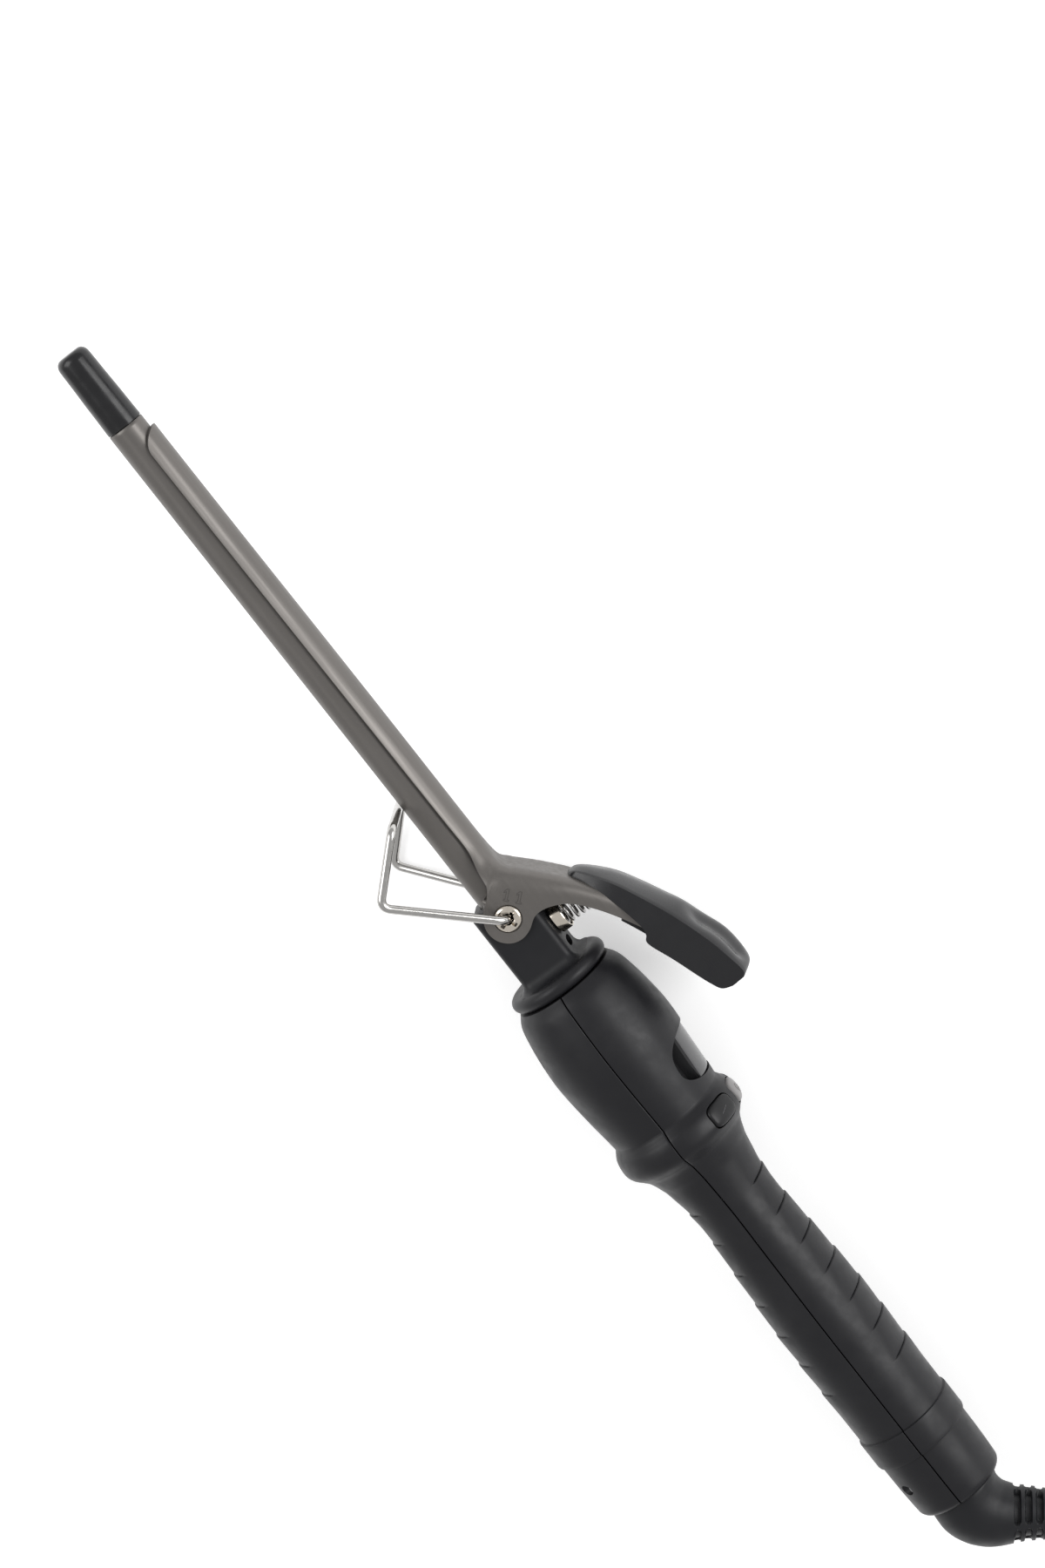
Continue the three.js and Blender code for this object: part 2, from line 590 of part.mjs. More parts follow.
/** Soft elbow moulded with its tapered strain relief. */
function cordElbow() {
  const root = rod(ELBOW_START, ARM_START[0] - 2.7, ELBOW_R);
  const bend = new THREE.SphereGeometry(ELBOW_R, 24, 16).translate(ARM_START[0] - 2.7, 0.3, 0);
  const arm = turned([
    [-3, 0], [-3, 8.6], [2, 8.9], [8, 8.1], [14, 7.4], [ARM_LENGTH - 4, 4.9], [ARM_LENGTH, 4.4],
    [ARM_LENGTH, 0],
  ], 24);
  const turnedArm = arm.rotate([0, 0, THREE.MathUtils.radToDeg(ARM_ANGLE)])
    .translate([ARM_START[0], ARM_START[1], 0]);
  const backHalf = block([ELBOW_START, 480], [-40, 60], [-20, 20]);
  return joined(root, solid(bend), turnedArm).intersect(backHalf);
}

// ---------------------------------------------------------------- lead and plug, put away
// The iron lies on the lower corner of its stand, this far below the barrel's axis.
const FLOOR = standWire().boundingBox().max[2];

const CORD_D = 6.5;
const CORD_R = CORD_D / 2;
const CORD_ON_TABLE = -FLOOR + CORD_R + 0.02;
const HANK_RUN = 15 * CORD_D;
const HANK_END_R = 4.5 * CORD_D;
const HANK_WAIST = 2.1 * CORD_D;
const HANK_HEIGHT = 3 * CORD_D;
const HANK_LIFT = 1.5; // the tie passes under the hank
const HANK_START = 505;
const HANK_Y = 31.5;
const PLUG_OFFSET = 50;

const armPoint = (distance) => [
  ARM_START[0] + distance * Math.cos(ARM_ANGLE), ARM_START[1] + distance * Math.sin(ARM_ANGLE),
];

function cordTube() {
  const [startX, startY] = armPoint(ARM_LENGTH + GAP);
  const entryY = HANK_Y + HANK_END_R - CORD_R;
  const route = [
    [startX, startY, 0], [...armPoint(ARM_LENGTH + 8), -0.2], [460, 48.6, -1.6],
    [467, 54, -5.2], [475.5, 56.8, -10.4], [484.5, 57.5, -15.4], [494, entryY, -18.8],
    [500, entryY, CORD_ON_TABLE + 0.05], [HANK_START - GAP, entryY, CORD_ON_TABLE],
  ];
  return swept(smooth(route), CORD_R, 10, 24);
}

/** The folded lead's outer shape: round ends, a waist at the tie, one square entry corner. */
function cordHank() {
  const near = HANK_START + HANK_END_R;
  const far = near + HANK_RUN;
  const middle = (near + far) / 2;
  const [y, r, waist, ease] = [HANK_Y, HANK_END_R, HANK_WAIST, HANK_RUN / 4];
  const outline = new THREE.Shape();
  outline.moveTo(HANK_START, y + r);
  outline.lineTo(near, y + r);
  outline.bezierCurveTo(near + ease, y + r, middle - ease, y + waist, middle, y + waist);
  outline.bezierCurveTo(middle + ease, y + waist, far - ease, y + r, far, y + r);
  outline.absarc(far, y, r, Math.PI / 2, -Math.PI / 2, true);
  outline.bezierCurveTo(far - ease, y - r, middle + ease, y - waist, middle, y - waist);
  outline.bezierCurveTo(middle - ease, y - waist, near + ease, y - r, near, y - r);
  outline.absarc(near, y, r, -Math.PI / 2, -Math.PI, true);
  outline.closePath();
  return fromSide(outline, HANK_LIFT - FLOOR, HANK_LIFT - FLOOR + HANK_HEIGHT, 8);
}

function cordTie() {
  const middle = HANK_START + HANK_END_R + HANK_RUN / 2;
  const half = 6;
  const room = HANK_WAIST + GAP + 0.9;
  const top = HANK_LIFT - FLOOR + HANK_HEIGHT;
  const band = block([middle - half, middle + half], [HANK_Y - room - 1.1, HANK_Y + room + 1.1],
    [-FLOOR, top + GAP + 1.1]);
  return band.subtract(block([middle - half - 1, middle + half + 1], [HANK_Y - room, HANK_Y + room],
    [HANK_LIFT - GAP - FLOOR, top + GAP]));
}

const PLUG_BACK = HANK_START + HANK_END_R + 46;
const PLUG_Y = HANK_Y - PLUG_OFFSET;
const PLUG_HALF_HEIGHT = 6.9;

function plug() {
  const z = PLUG_HALF_HEIGHT - FLOOR;
  const front = PLUG_BACK - 42;
  const outline = polygon([
    [front, -13], [front + 5, -15.5], [front + 9, -17.6], [front + 13, -17.6], [front + 28, -7],
    [front + 42, -4.6], [front + 42, 4.6], [front + 28, 7], [front + 13, 17.6],
    [front + 9, 17.6], [front + 5, 15.5], [front, 13],
  ].map(([x, y]) => [x, y + PLUG_Y]));
  let body = fromSide(outline, z - PLUG_HALF_HEIGHT, z + PLUG_HALF_HEIGHT);
  ['live', 'neutral'].forEach((pole, i) => {
    const y = PLUG_Y + (i === 0 ? 9.3 : -9.3);
    body = body.subtract(rod(front - 1, front + 5, 2 + GAP, 16).translate([0, y, z]));
    const pin = turned([
      [front - 19, 0], [front - 19, 1.2], [front - 18.2, 2], [front + 4.7, 2], [front + 4.7, 0],
    ], 16);
    place(`plug_pin_${pole}`, pin.translate([0, y, z]), brass());
  });
  place('plug_body', body, softBlack());
}

/** The last stretch of the lead, off the hank's far end and back to the plug. */
function cordTail() {
  const far = HANK_START + HANK_END_R + HANK_RUN;
  const plugZ = PLUG_HALF_HEIGHT - FLOOR;
  const route = [
    [far - 13, HANK_Y - 31.5, -8.6], [far - 20, HANK_Y - 36.5, -11.2], [far - 29, HANK_Y - 44, -14],
    [far - 38, HANK_Y - 49, -15.6], [PLUG_BACK + 8, PLUG_Y, plugZ], [PLUG_BACK + GAP, PLUG_Y, plugZ],
  ];
  return swept(smooth(route), CORD_R, 10, 10);
}

// ---------------------------------------------------------------- the whole iron
place('cool_tip', coolTip(), gloss());
place('barrel', tube(BARREL_START, BARREL_END, BARREL_R, BARREL_R - BARREL_WALL), coated());
heater();
place('neck_block', neckBlock(), softBlack());
place('guard_ring', turnedRing(ringProfile(), 32), grip());
handle();
display();
controls();
clamp();
place('pivot_screw_left', pivotScrew(1), nickel());
place('pivot_screw_right', pivotScrew(-1), nickel());
springAndSeat();
place('stand_wire', standWire(), chrome());
swivel();
place('cord_elbow', cordElbow(), softBlack());
place('cord', cordTube(), softBlack());
place('cord_hank', cordHank(), softBlack());
place('cord_tie', cordTie(), softBlack());
place('cord_tail', cordTail(), softBlack());
plug();

// The origin is under the middle of the iron itself, on the table.
const PUT_AWAY = ['cord', 'cord_hank', 'cord_tie', 'cord_tail', 'plug_body', 'plug_pin_live',
  'plug_pin_neutral'];
const reach = new THREE.Box3();
for (const mesh of iron.children.filter((m) => !PUT_AWAY.includes(m.name))) {
  reach.expandByObject(mesh);
}
const middle = reach.getCenter(new THREE.Vector3());
iron.position.set(-middle.x, -middle.y, FLOOR);

export default iron;
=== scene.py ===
"""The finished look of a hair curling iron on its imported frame.

Shapes are worked out in millimetres in the iron's own frame: x along the iron from the cool tip,
y to the clamp's side, z across the hinge, with the barrel's axis at y = z = 0.
"""
from math import atan2, copysign, cos, degrees, exp, floor, hypot, pi, radians, remainder, sin, sqrt

import bmesh
import bpy
from mathutils import Matrix, Vector


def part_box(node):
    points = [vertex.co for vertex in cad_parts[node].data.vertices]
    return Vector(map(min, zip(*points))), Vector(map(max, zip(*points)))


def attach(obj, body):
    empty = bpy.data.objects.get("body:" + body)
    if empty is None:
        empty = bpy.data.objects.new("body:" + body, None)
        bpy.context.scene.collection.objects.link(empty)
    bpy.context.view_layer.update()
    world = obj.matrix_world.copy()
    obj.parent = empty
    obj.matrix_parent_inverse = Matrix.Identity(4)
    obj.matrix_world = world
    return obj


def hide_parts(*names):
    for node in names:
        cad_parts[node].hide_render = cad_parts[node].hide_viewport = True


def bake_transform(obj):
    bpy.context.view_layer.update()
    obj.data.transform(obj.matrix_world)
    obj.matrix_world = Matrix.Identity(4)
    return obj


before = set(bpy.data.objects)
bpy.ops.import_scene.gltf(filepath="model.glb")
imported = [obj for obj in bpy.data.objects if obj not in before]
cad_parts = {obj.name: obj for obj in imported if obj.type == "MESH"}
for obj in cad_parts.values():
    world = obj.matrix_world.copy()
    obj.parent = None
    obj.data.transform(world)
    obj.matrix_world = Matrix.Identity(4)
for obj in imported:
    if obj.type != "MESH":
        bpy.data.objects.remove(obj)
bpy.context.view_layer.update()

# ---------------------------------------------------------------- places taken from the frame
MM = 0.001
TIP_START = -2.5
BARREL_MIDDLE = sum(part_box("barrel"), Vector()) / 2
ORIGIN = Vector((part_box("cool_tip")[0].x - TIP_START * MM, BARREL_MIDDLE.y, BARREL_MIDDLE.z))
TO_ROW = Matrix.Translation(ORIGIN) @ Matrix.Scale(MM, 4)


def iron(point):
    """A point of the frame, in the iron's own millimetres."""
    return (point - ORIGIN) / MM


def row(*point):
    """A point of the iron's own frame, in the row frame's metres."""
    return TO_ROW @ Vector(point)


def low(node):
    """The node's lowest corner in millimetres."""
    return iron(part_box(node)[0])


def high(node):
    """The node's highest corner in millimetres."""
    return iron(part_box(node)[1])


def centre(node):
    return (low(node) + high(node)) / 2


def half_across(node):
    """Half the node's width along z."""
    return (high(node).z - low(node).z) / 2


FLOOR = iron(Vector((0, 0, 0))).z
BARREL_R = half_across("barrel")
BARREL_START = low("barrel").x
BARREL_END = high("barrel").x
HINGE = centre("pivot_screw_left")
HEAD_TOP = high("pivot_screw_left").z
NECK_START = low("neck_block").x
RING_START = low("guard_ring").x
RING_R = half_across("guard_ring")
HANDLE_START = low("upper_shell").x
HANDLE_END = high("upper_shell").x
ELBOW_START = low("cord_elbow").x
DISPLAY_X = centre("display_frame").x
CONTROL_X = centre("power_button").x
BLADE_START = low("clamp_plate").x
WIRE_R = 1.3
BAND_START = 384.5
BAND_END = 393.8
GRIP_R = 14.75
CONTROL_ANGLE = radians(36.8)
ARM_START = Vector((424.0, -0.8, 0.0))
ARM_ANGLE = radians(54)
ARM_DIRECTION = Vector((cos(ARM_ANGLE), sin(ARM_ANGLE), 0))
ARM_LENGTH = 44.0


# ---------------------------------------------------------------- curves
def catmull(points, u):
    """The point at u, from 0 to 1, on a smooth curve through the points."""
    place = u * (len(points) - 1)
    i = min(int(place), len(points) - 2)
    t = place - i
    before = points[max(i - 1, 0)]
    after = points[min(i + 2, len(points) - 1)]
    result = []
    for p0, p1, p2, p3 in zip(before, points[i], points[i + 1], after):
        v0 = (p2 - p0) / 2
        v1 = (p3 - p1) / 2
        result.append((2 * p1 - 2 * p2 + v0 + v1) * t ** 3
                      + (3 * p2 - 3 * p1 - 2 * v0 - v1) * t ** 2 + v0 * t + p1)
    return result


def through(points, count):
    return [catmull(points, i / (count - 1)) for i in range(count)]


def ease(x, start, end):
    """0 before start, 1 after end, smooth between."""
    t = min(max((x - start) / (end - start), 0), 1)
    return t * t * (3 - 2 * t)


def mix(a, b, t):
    return a + (b - a) * t


def turns(count):
    """Angles evenly round a full turn."""
    return [2 * pi * k / count for k in range(count)]


def arc(middle, size, start, end, steps):
    """Points round part of an ellipse, without its first: middle, half axes, angles in quarters."""
    points = []
    for k in range(1, steps + 1):
        a = pi / 2 * mix(start, end, k / steps)
        points.append((middle[0] + size[0] * cos(a), middle[1] + size[1] * sin(a)))
    return points


def about_axis(x, radius, angle):
    """The point at a radius from the barrel's axis, at an angle from the clamp's side."""
    return Vector((x, radius * cos(angle), radius * sin(angle)))


def mirrored(points):
    """The points' reflections across the middle plane, in the opposite order."""
    return [Vector((p.x, p.y, -p.z)) for p in reversed(points)]


def resampled(points, step):
    """The same line with its points a step apart."""
    points = [Vector(p) for p in points]
    result = [points[0]]
    for a, b in zip(points, points[1:]):
        count = max(1, round((b - a).length / step))
        result.extend(a.lerp(b, k / count) for k in range(1, count + 1))
    return result


# ---------------------------------------------------------------- meshes
def new_object(name, verts, faces):
    mesh = bpy.data.meshes.new(name)
    mesh.from_pydata([tuple(v) for v in verts], [], faces)
    obj = bpy.data.objects.new(name, mesh)
    bpy.context.collection.objects.link(obj)
    return obj


def mesh_object(name, verts, faces):
    """A new object with its seams closed and its faces turned outwards."""
    obj = new_object(name, verts, faces)
    body = bmesh.new()
    body.from_mesh(obj.data)
    bmesh.ops.remove_doubles(body, verts=body.verts, dist=1e-4)
    bmesh.ops.recalc_face_normals(body, faces=body.faces)
    body.to_mesh(obj.data)
    body.free()
    return obj


def loft(name, rings, closed_ring=True, capped=True):
    """A skin over rings of equal length."""
    verts = [p for ring in rings for p in ring]
    n = len(rings[0])
    faces = []
    for i in range(len(rings) - 1):
        for j in range(n if closed_ring else n - 1):
            k = (j + 1) % n
            faces.append((i * n + j, i * n + k, (i + 1) * n + k, (i + 1) * n + j))
    if capped:
        faces.append(tuple(range(n)))
        faces.append(tuple(range((len(rings) - 1) * n, len(rings) * n)))
    return mesh_object(name, verts, faces)


def lathe(name, profile, segments=96, capped=True):
    """A turned skin about the x axis from (x, radius) points."""
    rings = [[about_axis(x, r, a) for a in turns(segments)] for x, r in profile]
    return loft(name, rings, capped=capped)


def lathe_ring(name, profile, segments=96):
    """A turned ring: the profile closes on itself."""
    return lathe(name, [*profile, profile[0]], segments, capped=False)


def sweep_rings(path, radius, sides):
    """Rings of a round section along a path, turned as little as possible from one to the next."""
    rings = []
    normal = None
    for i, point in enumerate(path):
        ahead = path[min(i + 1, len(path) - 1)]
        behind = path[max(i - 1, 0)]
        along = (ahead - behind).normalized()
        if normal is None:
            normal = along.orthogonal().normalized()
        normal = (normal - along * normal.dot(along)).normalized()
        other = along.cross(normal)
        r = radius(i / (len(path) - 1)) if callable(radius) else radius
        rings.append([point + (normal * cos(a) + other * sin(a)) * r for a in turns(sides)])
    return rings


def sweep(name, path, radius, sides=16):
    return loft(name, sweep_rings(path, radius, sides))


def prism(name, outline, bottom, top, axis="y"):
    """An outline given depth: along y it is (x, z), along z it is (x, y)."""
    rings = []
    for level in (bottom, top):
        if axis == "y":
            rings.append([Vector((a, level, b)) for a, b in outline])
        else:
            rings.append([Vector((a, b, level)) for a, b in outline])
    return loft(name, rings)


def ellipse_outline(x, z, a, b, power=2.0, count=48):
    """An ellipse, or with a higher power a rectangle with ever tighter corners."""
    outline = []
    for angle in turns(count):
        c = cos(angle)
        s = sin(angle)
        outline.append((x + copysign(abs(c) ** (2 / power), c) * a,
                        z + copysign(abs(s) ** (2 / power), s) * b))
    return outline


def box_outline(half_a, half_b):
    return [(-half_a, -half_b), (half_a, -half_b), (half_a, half_b), (-half_a, half_b)]


def applied(obj):
    """The object with its modifiers made real."""
    bpy.context.view_layer.update()
    graph = bpy.context.evaluated_depsgraph_get()
    mesh = bpy.data.meshes.new_from_object(obj.evaluated_get(graph))
    obj.modifiers.clear()
    old = obj.data
    obj.data = mesh
    bpy.data.meshes.remove(old)
    return obj


def carve(obj, *cutters):
    for cutter in cutters:
        step = obj.modifiers.new("cut", "BOOLEAN")
        step.operation = "DIFFERENCE"
        step.solver = "EXACT"
        step.object = cutter
        applied(obj)
        bpy.data.objects.remove(cutter)
    return obj


def rounded(obj, width, segments=3, angle=35):
    step = obj.modifiers.new("edges", "BEVEL")
    step.width = width
    step.segments = segments
    step.limit_method = "ANGLE"
    step.angle_limit = radians(angle)
    return applied(obj)


def thickened(obj, thickness, offset=-1):
    step = obj.modifiers.new("wall", "SOLIDIFY")
    step.thickness = thickness
    step.offset = offset
    step.use_even_offset = False
    return applied(obj)


def finished(obj, body, slot, look, *stands_for, sharp=38):
    """Puts a piece drawn in millimetres in its place, with its material, body and CAD nodes."""
    obj.data.transform(TO_ROW)
    body_mesh = bmesh.new()
    body_mesh.from_mesh(obj.data)
    bmesh.ops.remove_doubles(body_mesh, verts=body_mesh.verts, dist=1e-7)
    limit = radians(sharp)
    for face in body_mesh.faces:
        face.smooth = True
    for edge in body_mesh.edges:
        edge.smooth = len(edge.link_faces) != 2 or edge.calc_face_angle(0) < limit
    body_mesh.to_mesh(obj.data)
    body_mesh.free()
    obj.data.materials.clear()
    obj.data.materials.append(look)
    if body:
        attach(obj, body)
    if stands_for:
        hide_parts(*stands_for)
    return obj


def moved(obj, matrix):
    obj.data.transform(matrix)
    return obj


def joined(name, parts):
    """Several separate skins as one piece."""
    verts, faces = [], []
    for part in parts:
        start = len(verts)
        verts.extend(v.co.copy() for v in part.data.vertices)
        faces.extend(tuple(start + i for i in f.vertices) for f in part.data.polygons)
        bpy.data.objects.remove(part)
    return new_object(name, verts, faces)


# ---------------------------------------------------------------- materials
class Look:
    """A node material: one surface shader, with detail added to its sockets."""

    def __init__(self, name, colour, roughness, metallic=0.0, coat=0.0):
        self.material = bpy.data.materials.new(name)
        self.material.use_nodes = True
        self.nodes = self.material.node_tree.nodes
        self.links = self.material.node_tree.links
        self.shader = self.nodes["Principled BSDF"]
        self.colour = colour
        self.shader.inputs["Base Color"].default_value = (*colour, 1)
        self.shader.inputs["Roughness"].default_value = roughness
        self.shader.inputs["Metallic"].default_value = metallic
        self.shader.inputs["IOR"].default_value = 1.5
        self.shader.inputs["Coat Weight"].default_value = coat
        self.shader.inputs["Coat Roughness"].default_value = 0.15
        self.place = self.nodes.new("ShaderNodeTexCoord").outputs["Object"]

    def stretched(self, scale):
        """The place on the piece, stretched by a scale along each axis."""
        mapping = self.nodes.new("ShaderNodeMapping")
        mapping.inputs["Scale"].default_value = scale
        self.links.new(self.place, mapping.inputs["Vector"])
        return mapping.outputs["Vector"]

    def noise(self, scale, detail=3.0, stretch=None):
        node = self.nodes.new("ShaderNodeTexNoise")
        node.inputs["Scale"].default_value = scale
        node.inputs["Detail"].default_value = detail
        node.inputs["Roughness"].default_value = 0.55
        source = self.stretched(stretch) if stretch else self.place
        self.links.new(source, node.inputs["Vector"])
        return node.outputs["Fac"]

    def ranged(self, value, start, end, low_value, high_value):
        node = self.nodes.new("ShaderNodeMapRange")
        node.interpolation_type = "SMOOTHSTEP"
        node.inputs["From Min"].default_value = start
        node.inputs["From Max"].default_value = end
        node.inputs["To Min"].default_value = low_value
        node.inputs["To Max"].default_value = high_value
        self.links.new(value, node.inputs["Value"])
        return node.outputs["Result"]

    def tint(self, amount, other):
        """Blends the colour towards another where the amount is high."""
        node = self.nodes.new("ShaderNodeMix")
        node.data_type = "RGBA"
        base = self.shader.inputs["Base Color"]
        if base.is_linked:
            self.links.new(base.links[0].from_socket, node.inputs["A"])
        else:
            node.inputs["A"].default_value = (*self.colour, 1)
        node.inputs["B"].default_value = (*other, 1)
        self.links.new(amount, node.inputs["Factor"])
        self.links.new(node.outputs["Result"], base)

    def rough(self, value, low_value, high_value):
        self.links.new(self.ranged(value, 0.3, 0.7, low_value, high_value),
                       self.shader.inputs["Roughness"])

    def bump(self, value, height_mm, strength):
        node = self.nodes.new("ShaderNodeBump")
        node.inputs["Strength"].default_value = strength
        node.inputs["Distance"].default_value = height_mm * MM
        self.links.new(value, node.inputs["Height"])
        normal = self.shader.inputs["Normal"]
        if normal.is_linked:
            self.links.new(normal.links[0].from_socket, node.inputs["Normal"])
        self.links.new(node.outputs["Normal"], normal)

    def flecks(self, scale, detail, start, end, most, other):
        """Another colour where a noise is high: none at start, the most from end on."""
        self.tint(self.ranged(self.noise(scale, detail), start, end, 0, most), other)

    def polish(self, scale, detail, low_value, high_value):
        self.rough(self.noise(scale, detail), low_value, high_value)

    def grain(self, scale, detail, height_mm, strength):
        self.bump(self.noise(scale, detail), height_mm, strength)


def flecked(name, colour, roughness, flecks, polish, grain, metallic=0.0, coat=0.0):
    """A surface with flecks of another colour, an uneven polish and a fine grain. Each of the
    three is given by its noise's scale and detail first, then as in Look."""
    look = Look(name, colour, roughness, metallic, coat)
    look.flecks(*flecks)
    look.polish(*polish)
    look.grain(*grain)
    return look.material


def moulded_plastic(name, colour, roughness, grain_mm=0.01, dust=0.008, shine=0.25):
    """Spark-eroded plastic: a fine even grain, faint flow marks and a little dust."""
    look = Look(name, colour, roughness)
    look.shader.inputs["Specular IOR Level"].default_value = shine
    lighter = tuple(c + dust for c in colour)
    look.flecks(60, 4, 0.4, 0.75, 0.35, lighter)
    look.flecks(1400, 2, 0.6, 0.8, 0.25, lighter)
    look.polish(220, 3, roughness - 0.05, roughness + 0.06)
    look.grain(3200, 2, grain_mm, 0.5)
    look.grain(40, 2, 0.01, 0.2)
    return look.material


def coated_metal():
    """The barrel's fired coating: warm grey, faintly speckled, with fine drawn lines along it."""
    look = Look("coated_metal", (0.135, 0.126, 0.118), 0.4, metallic=0.62)
    look.flecks(2600, 2, 0.55, 0.8, 0.4, (0.17, 0.16, 0.15))
    look.flecks(35, 3, 0.45, 0.8, 0.3, (0.108, 0.101, 0.095))
    drawn = look.noise(900, 3, stretch=(0.03, 1, 1))
    look.rough(drawn, 0.35, 0.47)
    look.bump(drawn, 0.006, 0.35)
    look.grain(3000, 2, 0.004, 0.4)
    return look.material


def plated_metal(name, colour, roughness, wear=0.05):
    """Bright metal, duller in flecks."""
    dull = tuple(c * 0.72 for c in colour)
    return flecked(name, colour, roughness, (260, 4, 0.5, 0.75, 0.4, dull),
                   (700, 3, roughness, roughness + wear), (1200, 3, 0.004, 0.3), metallic=1.0)


def circuit_board():
    look = Look("circuit", (0.02, 0.1, 0.045), 0.45)
    tracks = look.noise(1500, 1, stretch=(0.25, 1, 1))
    look.tint(look.ranged(tracks, 0.52, 0.55, 0, 0.8), (0.04, 0.18, 0.08))
    look.polish(500, 2, 0.4, 0.55)
    look.bump(tracks, 0.03, 0.5)
    return look.material


def pale_floor():
    """Backlit white: it glows just enough to wash out most of the iron's shadow."""
    glow = 0.4
    look = Look("floor", (0.86, 0.86, 0.86), 0.6)
    look.shader.inputs["Emission Color"].default_value = (1, 1, 1, 1)
    look.shader.inputs["Emission Strength"].default_value = glow
    look.flecks(3, 3, 0.3, 0.8, 0.3, (0.85, 0.85, 0.853))
    look.polish(20, 2, 0.55, 0.65)
    look.grain(400, 2, 0.01, 0.2)
    return look.material


SOFT_TOUCH = moulded_plastic("soft_touch", (0.0105, 0.0105, 0.0122), 0.41)
NECK_PLASTIC = moulded_plastic("neck_plastic", (0.0095, 0.0098, 0.0115), 0.45, 0.008)
THUMB_PLASTIC = moulded_plastic("thumb_plastic", (0.008, 0.008, 0.0095), 0.28, 0.003, 0.005, 0.42)
SATIN_BLACK = moulded_plastic("satin_black", (0.01, 0.01, 0.011), 0.36, 0.005)
GLOSS_BLACK = moulded_plastic("gloss_black", (0.007, 0.007, 0.008), 0.24, 0.003, 0.004, 0.4)
BUTTON_BLACK = moulded_plastic("button_black", (0.01, 0.01, 0.011), 0.4, 0.006)
MARK_GREY = moulded_plastic("mark_grey", (0.1, 0.1, 0.105), 0.45, 0.004)
# Dark grey strokes: painted shade standing in for the shadowed grooves of stamped and engraved marks.
ENGRAVED_SHADE = moulded_plastic("engraved_painted_shade", (0.065, 0.06, 0.056), 0.5, 0.004)
LIGHT_GREY = moulded_plastic("light_grey", (0.19, 0.183, 0.182), 0.36, 0.006, 0.03)
COATED = coated_metal()
NICKEL = plated_metal("nickel", (0.72, 0.66, 0.58), 0.16)
SPRING = plated_metal("spring_steel", (0.45, 0.44, 0.43), 0.2)
ALUMINIUM = plated_metal("aluminium", (0.6, 0.61, 0.63), 0.38)
BRASS = plated_metal("brass", (0.72, 0.55, 0.26), 0.25)
# Darkened steel for the shell's screws: painted shade of their deep holes.
SHADED_SCREW_STEEL = plated_metal("screw_steel_painted_shade", (0.12, 0.12, 0.125), 0.35)
CHROME = flecked("chrome_wire", (0.5, 0.49, 0.475), 0.13, (500, 4, 0.5, 0.8, 0.4, (0.3, 0.29, 0.28)),
                 (900, 3, 0.1, 0.24), (1500, 3, 0.004, 0.35), metallic=1.0)
CORD = flecked("cord_sheath", (0.022, 0.022, 0.024), 0.5, (90, 4, 0.45, 0.8, 0.4, (0.05, 0.05, 0.052)),
               (300, 3, 0.42, 0.58), (1800, 2, 0.01, 0.4))
WINDOW = flecked("display_glass", (0.02, 0.02, 0.022), 0.25, (40, 2, 0.4, 0.8, 0.3, (0.03, 0.03, 0.032)),
                 (120, 3, 0.22, 0.32), (60, 2, 0.01, 0.2), coat=0.4)
BOARD = circuit_board()
CERAMIC = flecked("heater_ceramic", (0.78, 0.75, 0.68), 0.7, (300, 4, 0.45, 0.7, 0.5, (0.62, 0.58, 0.5)),
                  (400, 3, 0.62, 0.8), (1200, 3, 0.02, 0.5))
LEAD_SLEEVE = moulded_plastic("lead_sleeve", (0.5, 0.47, 0.4), 0.5, 0.01, 0.05)


# ---------------------------------------------------------------- camera
def camera():
    """A long lens looking steeply down at the hinge, rolled so that the tip points up left."""
    heading = radians(-49.37)
    drop = radians(74.5)
    roll = radians(-167.65)
    aim = row(169.53, 26.02, 0)
    distance = 1.3204
    ahead = Vector((cos(drop) * cos(heading), cos(drop) * sin(heading), -sin(drop)))
    turn = ahead.to_track_quat("-Z", "Y").to_matrix() @ Matrix.Rotation(roll, 3, "Z")
    data = bpy.data.cameras.new("camera")
    data.lens = 108
    data.sensor_width = 36
    data.clip_start = 0.05
    data.clip_end = 20
    obj = bpy.data.objects.new("camera", data)
    obj.matrix_world = Matrix.Translation(aim - ahead * distance) @ turn.to_4x4()
    bpy.context.collection.objects.link(obj)
    bpy.context.scene.camera = obj


# ---------------------------------------------------------------- cord
CORD_D = 6.5
ON_FLOOR = FLOOR + CORD_D / 2 + 0.03
HANK_START = low("cord_hank").x
FOLD_R = 4 * CORD_D
HANK_Y = centre("cord_hank").y
HANK_NEAR = HANK_START + FOLD_R + CORD_D / 2
HANK_FAR = high("cord_hank").x - FOLD_R - CORD_D / 2
PLUG_Y = centre("plug_body").y
PLUG_Z = centre("plug_body").z
PLUG_FRONT = low("plug_body").x
PLUG_BACK = high("plug_body").x


def arm_point(distance):
    return ARM_START + ARM_DIRECTION * distance


def hank_lap(fold_r, height, next_r, next_height, half=False):
    """One lap of the hank: out, round the far fold, back and round the near fold, drawn in to
    the tie half way. The near fold moves over to where the next lap lies."""
    waist = fold_r - 2.5 * CORD_D
    steps = 16
    fold_steps = 13

    def long_side(start, end, side):
        points = []
        for k in range(steps):
            t = k / steps
            away = mix(fold_r, waist, (1 - cos(2 * pi * t)) / 2)
            points.append((mix(start, end, t), HANK_Y + side * away, height))
        return points

    points = long_side(HANK_NEAR, HANK_FAR, 1)
    for k in range(fold_steps):
        a = pi / 2 - pi * k / fold_steps
        points.append((HANK_FAR + fold_r * cos(a), HANK_Y + fold_r * sin(a), height))
    if half:
        return points
    points += long_side(HANK_FAR, HANK_NEAR, -1)
    for k in range(fold_steps):
        t = k / fold_steps
        a = -pi / 2 - pi * t
        r = mix(fold_r, next_r, t)
        z = mix(height, next_height, t)
        points.append((HANK_NEAR + r * cos(a), HANK_Y + r * sin(a), z))
    return points


